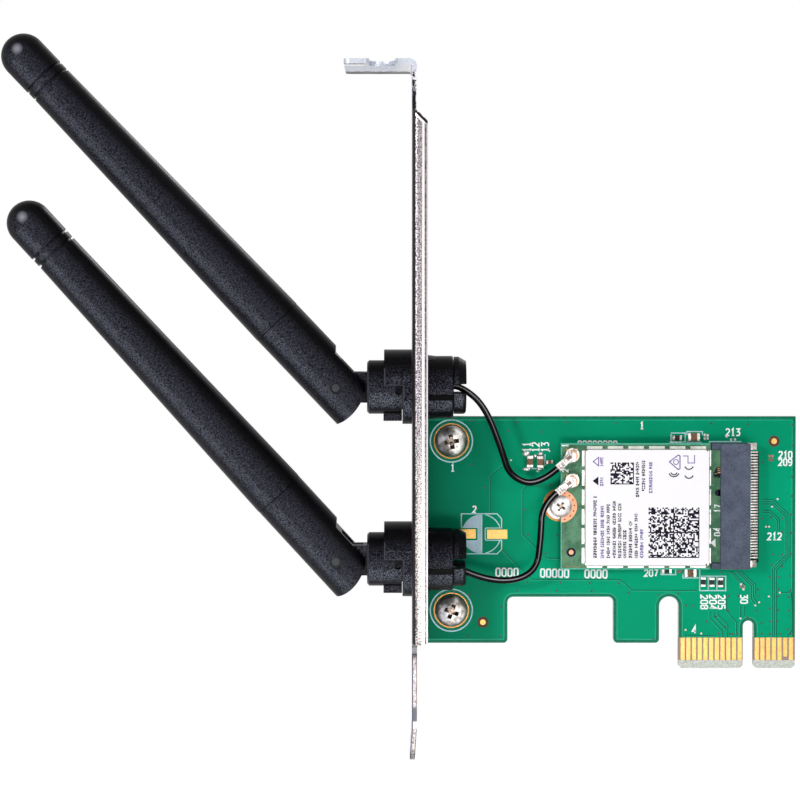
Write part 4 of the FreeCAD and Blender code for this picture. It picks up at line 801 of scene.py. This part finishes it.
def silk_screen():
    """White lines and plain figures, and the filled half of an empty capacitor footprint."""
    lines = Layer(BOARD_FRONT, 0.02)
    for centre in SCREW_PLACES:
        lines.ring(centre, 3.8, 3.58, steps=72)
    # capacitor footprint: outline, slot beside its left pad, round and middle line
    for line in [
        [(461.3, 527.4), (461.3, 513.8), (497.1, 513.8), (501.6, 518.8), (501.6, 528), (486.2, 528),
         (485.2, 529), (485.2, 539.2), (486.2, 540.2), (501.6, 540.2), (501.6, 549.2), (497.1, 553.8),
         (462.6, 553.8)],
        [(461.3, 527.3), (477, 527.3), (478, 528.3), (478, 539.8), (477, 540.8), (462, 540.8)],
    ]:
        lines.strip(places(line), 0.17)
    centre = at(481.4, 533.9)
    lines.ring(centre, 3.53, 3.36, -78, -20, 16)
    lines.ring(centre, 3.53, 3.36, 16, 78, 20)
    lines.strip(places([(481.6, 514.6), (481.6, 553)]), 0.24)
    for line in [
        [(699.7, 569.7), (699.7, 590.6), (725.7, 590.6), (725.7, 576.2), (700.7, 576.2)],
        [(708.2, 577.2), (708.2, 589.6)],
        [(716.9, 577.2), (716.9, 589.6)],
        [(661.1, 569.4), (661.1, 574.6), (675.7, 574.6), (675.7, 569.4)],
        [(683, 574), (683, 577.9), (698.6, 577.9)],
        [(671, 433), (685.2, 433), (685.2, 442), (671, 442), (671, 434.2)],
        [(686.8, 435), (686.8, 431.6), (702.4, 431.6), (702.4, 435)],
        [(686.8, 442.2), (701.6, 442.2)],
        [(709.5, 444.2), (709.5, 441.6), (741.4, 441.6)],
        [(522.6, 468.6), (544, 468.6)],
        [(545, 466), (545, 454.4)],
    ]:
        lines.strip(places(line), 0.17)
    lines.piece("board_silk_lines", LINE_SILK, "label_white")

    text = Layer(BOARD_FRONT, 0.024)
    for row in [
        ("1", 452.6, 467.8, 1.15), ("2", 474.4, 509.3, 1.05), ("11", 526.8, 447.2, 1.2, 90, 0.22),
        ("12", 535.5, 447.2, 1.2, 90, 0.22), ("13", 545, 447.2, 1.2, 90, 0.22), ("213", 732.8, 432.2, 1.15),
        ("210", 785.4, 454.8, 1.1), ("209", 785.2, 462.2, 1.1), ("212", 774.4, 536.4, 1.15),
        ("208", 704.2, 602, 1.15, -90), ("204", 713, 602, 1.15, -90), ("205", 721.6, 602, 1.15, -90),
        ("30", 744, 599, 1.15, -90), ("4", 694, 629.8, 1.2), ("206", 676, 445, 1),
        ("00000000", 597.5, 444.4, 1.15, 0, 0.22), ("207", 651, 573, 1.1), ("1", 641.8, 425.6, 1.1),
        ("0000", 507, 572.3, 1.35, -0.8, 0.28), ("00000", 554.6, 573.2, 1.35, -0.8, 0.28),
        ("0000", 596, 573.9, 1.35, -0.8, 0.28),
    ]:
        figures(text, *row)
    text.disc(at(549.4, 451), 0.14, 12)
    text.piece("board_silk_figures", SILK, "label_white")

    # left half of the round, above and below the slot
    fill = Layer(BOARD_FRONT, 0.014)
    radius = 3.42
    bar_left = centre[0] - 0.1
    slot_top = at(477.6, 527.6)[1]
    slot_right, slot_bottom = at(477.6, 540.5)
    for side, level, start in [(1, slot_top, 93), (-1, slot_bottom, 267)]:
        edge_x = centre[0] - math.sqrt(radius ** 2 - (level - centre[1]) ** 2)
        rim = [point for point in arc(centre, radius, start, start + side * 72, 16)
               if side * (point[1] - level) >= 0 and point[0] <= bar_left]
        middle = centre[1] + side * 0.0005
        fill.polygon([(bar_left, centre[1] + side * radius)] + rim
                     + [(edge_x, level), (slot_right, level), (slot_right, middle), (bar_left, middle)])
    fill.piece("capacitor_footprint_fill", PALE_SILK, "label_white")


def board_pads():
    """Bare metal on the board: capacitor pads, two round marks, screw rings and small pads."""
    gold = Layer(BOARD_FRONT, 0.03)
    gold.bar(459, 529.2, 475.8, 538.5)
    gold.bar(487.1, 529.6, 507.3, 538.8)
    round_marks = places([(774.1, 441.2), (482.8, 622.2)])
    for centre in round_marks:
        gold.disc(centre, 0.5, 24)
    gold.piece("board_gold_pads", PAD_GOLD, "contact_gold")
    rings = Layer(BOARD_FRONT, 0.03)
    for centre in SCREW_PLACES:
        rings.ring(centre, 3.1, 2.9, steps=64)
    rings.ring(MODULE_SCREW, 2.9, 2.2, steps=64)
    rings.piece("screw_gold_rings", DARK_GOLD, "contact_gold")
    dots("fiducial_rings", DARK_RING, "board_green", 0.01, round_marks, 1, 32)
    pads("small_bare_pads", BROWN_PAD, "contact_gold", places([
        (769.8, 456.2), (772.6, 456.2), (769.8, 459.8), (772.6, 459.8), (546, 463), (549.2, 462),
        (740.8, 586.6), (744, 586.8), (678.2, 571.4), (680.8, 571.4),
    ]), 0.2, 0.24)
    pads("small_solder_pads", BRIGHT_VIA, "tin_plate", places([
        (704.6, 435), (704.6, 438.6), (707.6, 435.4), (707.6, 438.4), (726.6, 436.4), (731, 439.6),
        (735, 439.4), (741, 584.4), (743.4, 589.2),
    ]), 0.17, 0.2)
    pads("socket_solder_pads", BRIGHT_VIA, "tin_plate",
         [(1.25, 19.5 + 0.5 * index) for index in range(38)], 0.35, 0.13)


def module_details():
    """Rim line, screw pad, marks and holes on the radio module's face."""
    face = MODULE_FRONT
    width = 0.24
    left, right = -33.14 + width / 2, -7.3
    low, high = 17.75 + width / 2, 39.75 - width / 2
    rim = Layer(face, 0.01)
    for line in [
        [(-14.14, low), (left, low), (left, 26.6)],
        [(left, 30.9), (left, high), (right, high)],
        [(-13.94, low), (right, low)],
    ]:
        rim.strip(line, width)
    rim.piece("module_rim_lines", TEAL, "module_green")
    line = Layer(face, 0.008)
    line.strip([(-29.3, 18.25), (-32.59, 18.25), (-32.59, 25.4)], 0.08)
    line.piece("module_copper_line", BROWN_LINE, "module_green")
    pad = Layer(face, 0.02)
    pad.ring(MODULE_SCREW, 2.83, 1.76, -88, 88, 40)
    pad.piece("module_screw_pad", COPPER, "contact_gold")
    angles = (73.5, 51, 27.8, 4.3, -19.9, -45.3, -72.5)
    holes = [arc(MODULE_SCREW, 2.38, angle, angle, 1)[0] for angle in angles]
    dots("module_pad_holes", RUST_DOT, "contact_gold", 0.026, holes, 0.15, 12, face)
    round_mark = [at(571.2, 552.3, face)]
    dots("module_fiducial_ring", DARK_BLUE, "module_green", 0.012, round_mark, 0.8, 32, face)
    dots("module_fiducial", COPPER, "contact_gold", 0.03, round_mark, 0.42, 24, face)
    marks = Layer(face, 0.02)
    for row in [("1", 565.2, 445.6, 0.95, 90, 0.2), ("2", 565.4, 470.6, 0.9, 90, 0.18),
                ("04", 717.4, 532, 1, 90, 0.2), ("17", 717.6, 508.6, 1, 90, 0.2)]:
        figures(marks, *row, face)
    marks.polygon(places([(710.6, 542.8), (715.4, 538.6), (715.4, 547.4)], face))
    marks.piece("module_marks", SILK, "label_white")
    slots = Layer(face, 0.012)
    for x, z in places([(718.4, 470.6), (718.2, 492.8)], face):
        slots.disc((x, z), 0.6, 24)
        slots.rectangle((x, z - 0.6), (x + 1.2, z + 0.6))
    slots.piece("module_slots", DARK_BLUE, "module_green")
    gold = Layer(face, 0.02)
    for row in [468.6, 470.6, 472.6]:
        gold.bar(717.6, row - 0.35, 721.6, row + 0.35)
    gold.piece("module_slot_lines", SURFACES["contact_gold"], "contact_gold")
    dots("module_vias", TEAL, "module_green", 0.012, places([
        (564, 541), (566.5, 533), (575, 538.5), (577.5, 530), (574.5, 522), (716, 553.5), (712, 475),
        (713, 485), (576, 467.5), (567.4, 516),
    ], face), 0.12, 10, face)


def turned_box(layer, centre, turn, near, far, half_width, shift=0.0):
    """Rectangle along a direction from a centre, from near to far, shifted to its left."""
    ux, uz = math.cos(math.radians(turn)), math.sin(math.radians(turn))
    low, high = shift - half_width, shift + half_width
    layer.polygon([(centre[0] + along * ux - side * uz, centre[1] + along * uz + side * ux)
                   for along, side in [(near, low), (far, low), (far, high), (near, high)]])


def plug_details():
    """Window, rolled edge, and crimp creases drawn as painted shade, on the two coax plugs, whose faces are
    level.
    """
    head_radius = 1.45
    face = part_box("coax_plug_upper")[0].y / MM
    window, edge, crease = Layer(face, 0.02), Layer(face, 0.05), Layer(face, 0.02)
    for name, turn in [("coax_plug_upper", 223.0), ("coax_plug_lower", 219.5)]:
        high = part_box(name)[1]
        centre = (high.x / MM - head_radius, high.z / MM - head_radius)
        turned_box(window, centre, turn, 0.0, 0.85, 0.3)
        edge.ring(centre, 1.1, 0.92, turn + 110, turn + 235, 20)
        for reach in (1.75, 2.05, 2.6, 3.0):
            turned_box(crease, centre, turn, reach, reach + 0.09, 0.45)
        for shift in (-0.62, 0.62):
            turned_box(crease, centre, turn, 0.2, 1.5, 0.06, shift)
    window.piece("plug_windows", BROWN_PAD, "tin_plate")
    edge.piece("plug_rolled_edges", DARK_GOLD, "contact_gold")
    crease.piece("plug_creases", DARK_METAL, "tin_plate")


def solder_blob(name, centre, depth, size, height, seed):
    """Low rounded solder mound with an uneven outline."""
    random.seed(seed)
    mesh = bmesh.new()
    bmesh.ops.create_uvsphere(mesh, u_segments=20, v_segments=10, radius=1.0)
    phase = [random.uniform(0, math.tau) for _ in range(3)]
    for vertex in mesh.verts:
        angle = math.atan2(vertex.co.z, vertex.co.x)
        swell = 1 + 0.1 * math.sin(2 * angle + phase[0]) + 0.06 * math.sin(3 * angle + phase[1])
        vertex.co = Vector((
            (centre[0] + vertex.co.x * size[0] * swell) * MM,
            (depth - max(-0.1, -vertex.co.y) * height) * MM,
            (centre[1] + vertex.co.z * size[1] * swell) * MM,
        ))
    for face in mesh.faces:
        face.smooth = True
    add_piece(mesh, name, SOLDER)


def random_cells(ink, left, top, right, bottom, cells):
    """Field of random dark cells with lines along two of its sides, and a cross if it is large."""
    step_x = (right - left) / cells
    step_y = (bottom - top) / cells
    ink.bar(left, bottom - 0.4 * step_y, right, bottom + 0.3 * step_y)
    ink.bar(right - 0.4 * step_x, top, right + 0.3 * step_x, bottom)
    if cells > 20:
        across, down = (left + right) / 2, (top + bottom) / 2
        ink.bar(across - 0.4 * step_x, top, across + 0.4 * step_x, bottom)
        ink.bar(left, down - 0.4 * step_y, right, down + 0.4 * step_y)
    for row in range(cells):
        start = None
        for column in range(cells + 1):
            dark = column < cells and random.random() < 0.5
            if dark and start is None:
                start = column
            if not dark and start is not None:
                ink.bar(left + start * step_x, top + row * step_y,
                        left + column * step_x, top + (row + 1) * step_y)
                start = None


def label_print():
    """Generic marks on the label: two fields of random cells, dashes in columns, plain shapes."""
    random.seed(7)
    depth = LABEL_FRONT
    ink = Layer(depth, 0.012)
    violet = Layer(depth, 0.012)
    random_cells(ink, 610.5, 462.5, 633.5, 484, 16)
    random_cells(ink, 648.5, 507.5, 699, 557.5, 36)
    patterns = [[(0, 3.4)], [(0, 3.4)], [(0, 1.3), (2.2, 3.4)], [(0.9, 2.5)], [(0, 0.9), (1.5, 3.4)],
                [(0, 2.4)]]
    for left, top, bottom, target in [
        (593.4, 496, 558, ink), (600.6, 507, 558, violet), (606.6, 505, 558, ink), (612.6, 502, 558, ink),
        (618, 505, 558, ink), (623, 530, 558, ink), (628.8, 521, 558, ink), (634.6, 515, 558, ink),
        (640, 529, 558, violet), (635.8, 463, 497, ink), (641.8, 460, 491, ink), (649, 462, 493, violet),
        (600, 458, 466, violet), (600, 477, 486, violet),
    ]:
        row = bottom
        letters = 0
        while row > top:
            for _ in range(random.choice([2, 2, 3])):
                layer = target if random.random() < 0.88 else violet
                for low, high in random.choice(patterns):
                    layer.bar(left + low, row - 0.7, left + high, row)
                row -= 0.78
            row -= 0.5
            letters += 1
            if letters > random.choice([3, 6, 8]):
                row -= 1.8
                letters = 0
    ink.polygon(places([(592.6, 481), (598.4, 476.6), (598.4, 485.4)], depth))
    violet.strip(places([(593.2, 461.5), (598.6, 457.4), (598.6, 465.8)], depth), 0.16, True)
    violet.strip(places([(669.4, 461.8), (678.4, 455), (680, 456), (680, 468.6), (678.2, 469.6)], depth),
                 0.18, True)
    violet.ring(at(676, 462, depth), 0.5, 0.36, steps=16)
    violet.strip(places([(683, 456), (688, 456), (688, 463), (694.6, 463), (694.6, 455)], depth), 0.15)
    for column, row, size in [(674, 471.5, 1), (674, 471.5, 0.66), (689, 465, 0.85), (689, 474, 0.85)]:
        ink.ring(at(column, row, depth), size, size - 0.2, 200, 340, 16)
    ink.piece("label_dark_print", INK, "label_white")
    violet.piece("label_violet_print", VIOLET_INK, "label_white")
    # painted shade in the label's corner holes
    dots("label_corner_holes", DARK_METAL, "shield_steel", 0.01,
         places([(586.4, 450), (707.6, 450.6), (706.4, 564.6)], depth), 0.16, 12, depth)
    low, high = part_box("module_label")
    outside = 0.05
    left, bottom = low.x / MM - outside, low.z / MM - outside
    right, top = high.x / MM + outside, high.z / MM + outside
    # painted shade along the label's edge on the shield
    seam = Layer(SHIELD_FRONT, 0.006)
    seam.strip([(left, bottom), (right, bottom), (right, top), (left, top)], 0.12, True)
    seam.piece("label_seam", DARK_METAL, "shield_steel")


def chip_solder():
    """Small solder fillets at the ends of the chip parts on the left."""
    for index, (column, row, width, height) in enumerate([
        (526.2, 453.6, 0.75, 0.45), (527, 469, 0.8, 0.4), (530.4, 461.4, 0.4, 0.5), (540.4, 453.8, 0.5, 0.4),
        (539.6, 468.8, 0.55, 0.35), (535.2, 456, 0.4, 0.35), (552.4, 515.4, 0.55, 0.4),
    ]):
        solder_blob(f"solder_joint_{index}", at(column, row), BOARD_FRONT, (width, height), 0.45, index)
    specks = Layer(BOARD_FRONT, 0.02)
    for _ in range(16):
        specks.disc(at(random.uniform(512, 550), random.uniform(452, 474)), random.uniform(0.08, 0.14), 9)
    specks.piece("flux_specks", VIA, "contact_gold")


keepouts()
traces_and_vias()
silk_screen()
board_pads()
module_details()
plug_details()
label_print()
chip_solder()


# Floor, backdrop light and lamps

def white_world():
    """White where it is seen or mirrored, and a soft even light on the object."""
    world = bpy.data.worlds.new("studio")
    bpy.context.scene.world = world
    world.use_nodes = True
    nodes = Nodes(world.node_tree)
    background = nodes.tree.nodes["Background"]
    background.inputs["Color"].default_value = (1.0, 1.0, 1.0, 1.0)
    nodes.put(background.inputs["Strength"], nodes.by_ray(AMBIENT, 1.0))


def lamp(name, place, target, size, power):
    """Area lamp; place, target and size are in metres, power in watts."""
    data = bpy.data.lights.new(name, "AREA")
    data.shape = "RECTANGLE"
    data.size, data.size_y = size
    data.energy = power
    made = add_object(name, data)
    made.location = place
    made.rotation_euler = (Vector(target) - Vector(place)).to_track_quat("-Z", "Y").to_euler()


def floor():
    """White paper floor that keeps the shadow: its glow only lifts it to the backdrop's white."""
    mesh = bpy.data.meshes.new("floor")
    # half its side, in metres
    reach = 6.0
    corners = [(-reach, -reach), (reach, -reach), (reach, reach), (-reach, reach)]
    mesh.from_pydata([(x, y, FLOOR_LEVEL * MM) for x, y in corners], [], [(0, 1, 2, 3)])
    made = add_object("floor", mesh)
    surface = Surface("floor_paper", Roughness=0.9, Specular_IOR_Level=0.0, Emission_Color=(1, 1, 1, 1))
    paper = surface.mix(surface.noise(40.0), (244, 244, 244), (250, 250, 250))
    surface.put(surface.shader.inputs["Base Color"], paper)
    surface.put(surface.shader.inputs["Emission Strength"], surface.by_ray(0.0, FLOOR_GLOW))
    mesh.materials.append(surface.material)


white_world()
floor()
lamp("left", (-0.4, -0.42, 0.14), (-0.04, 0, 0.03), (0.06, 0.06), 1.0)
lamp("low front", (-0.05, -0.42, -0.09), (-0.04, 0, 0.03), (0.22, 0.08), 0.6)
lamp("right", (0.26, -0.42, 0.14), (-0.03, 0, 0.03), (0.14, 0.2), 0.4)
lamp("rim", (0.08, 0.38, 0.33), (-0.09, 0, 0.06), (0.08, 0.08), 0.36)
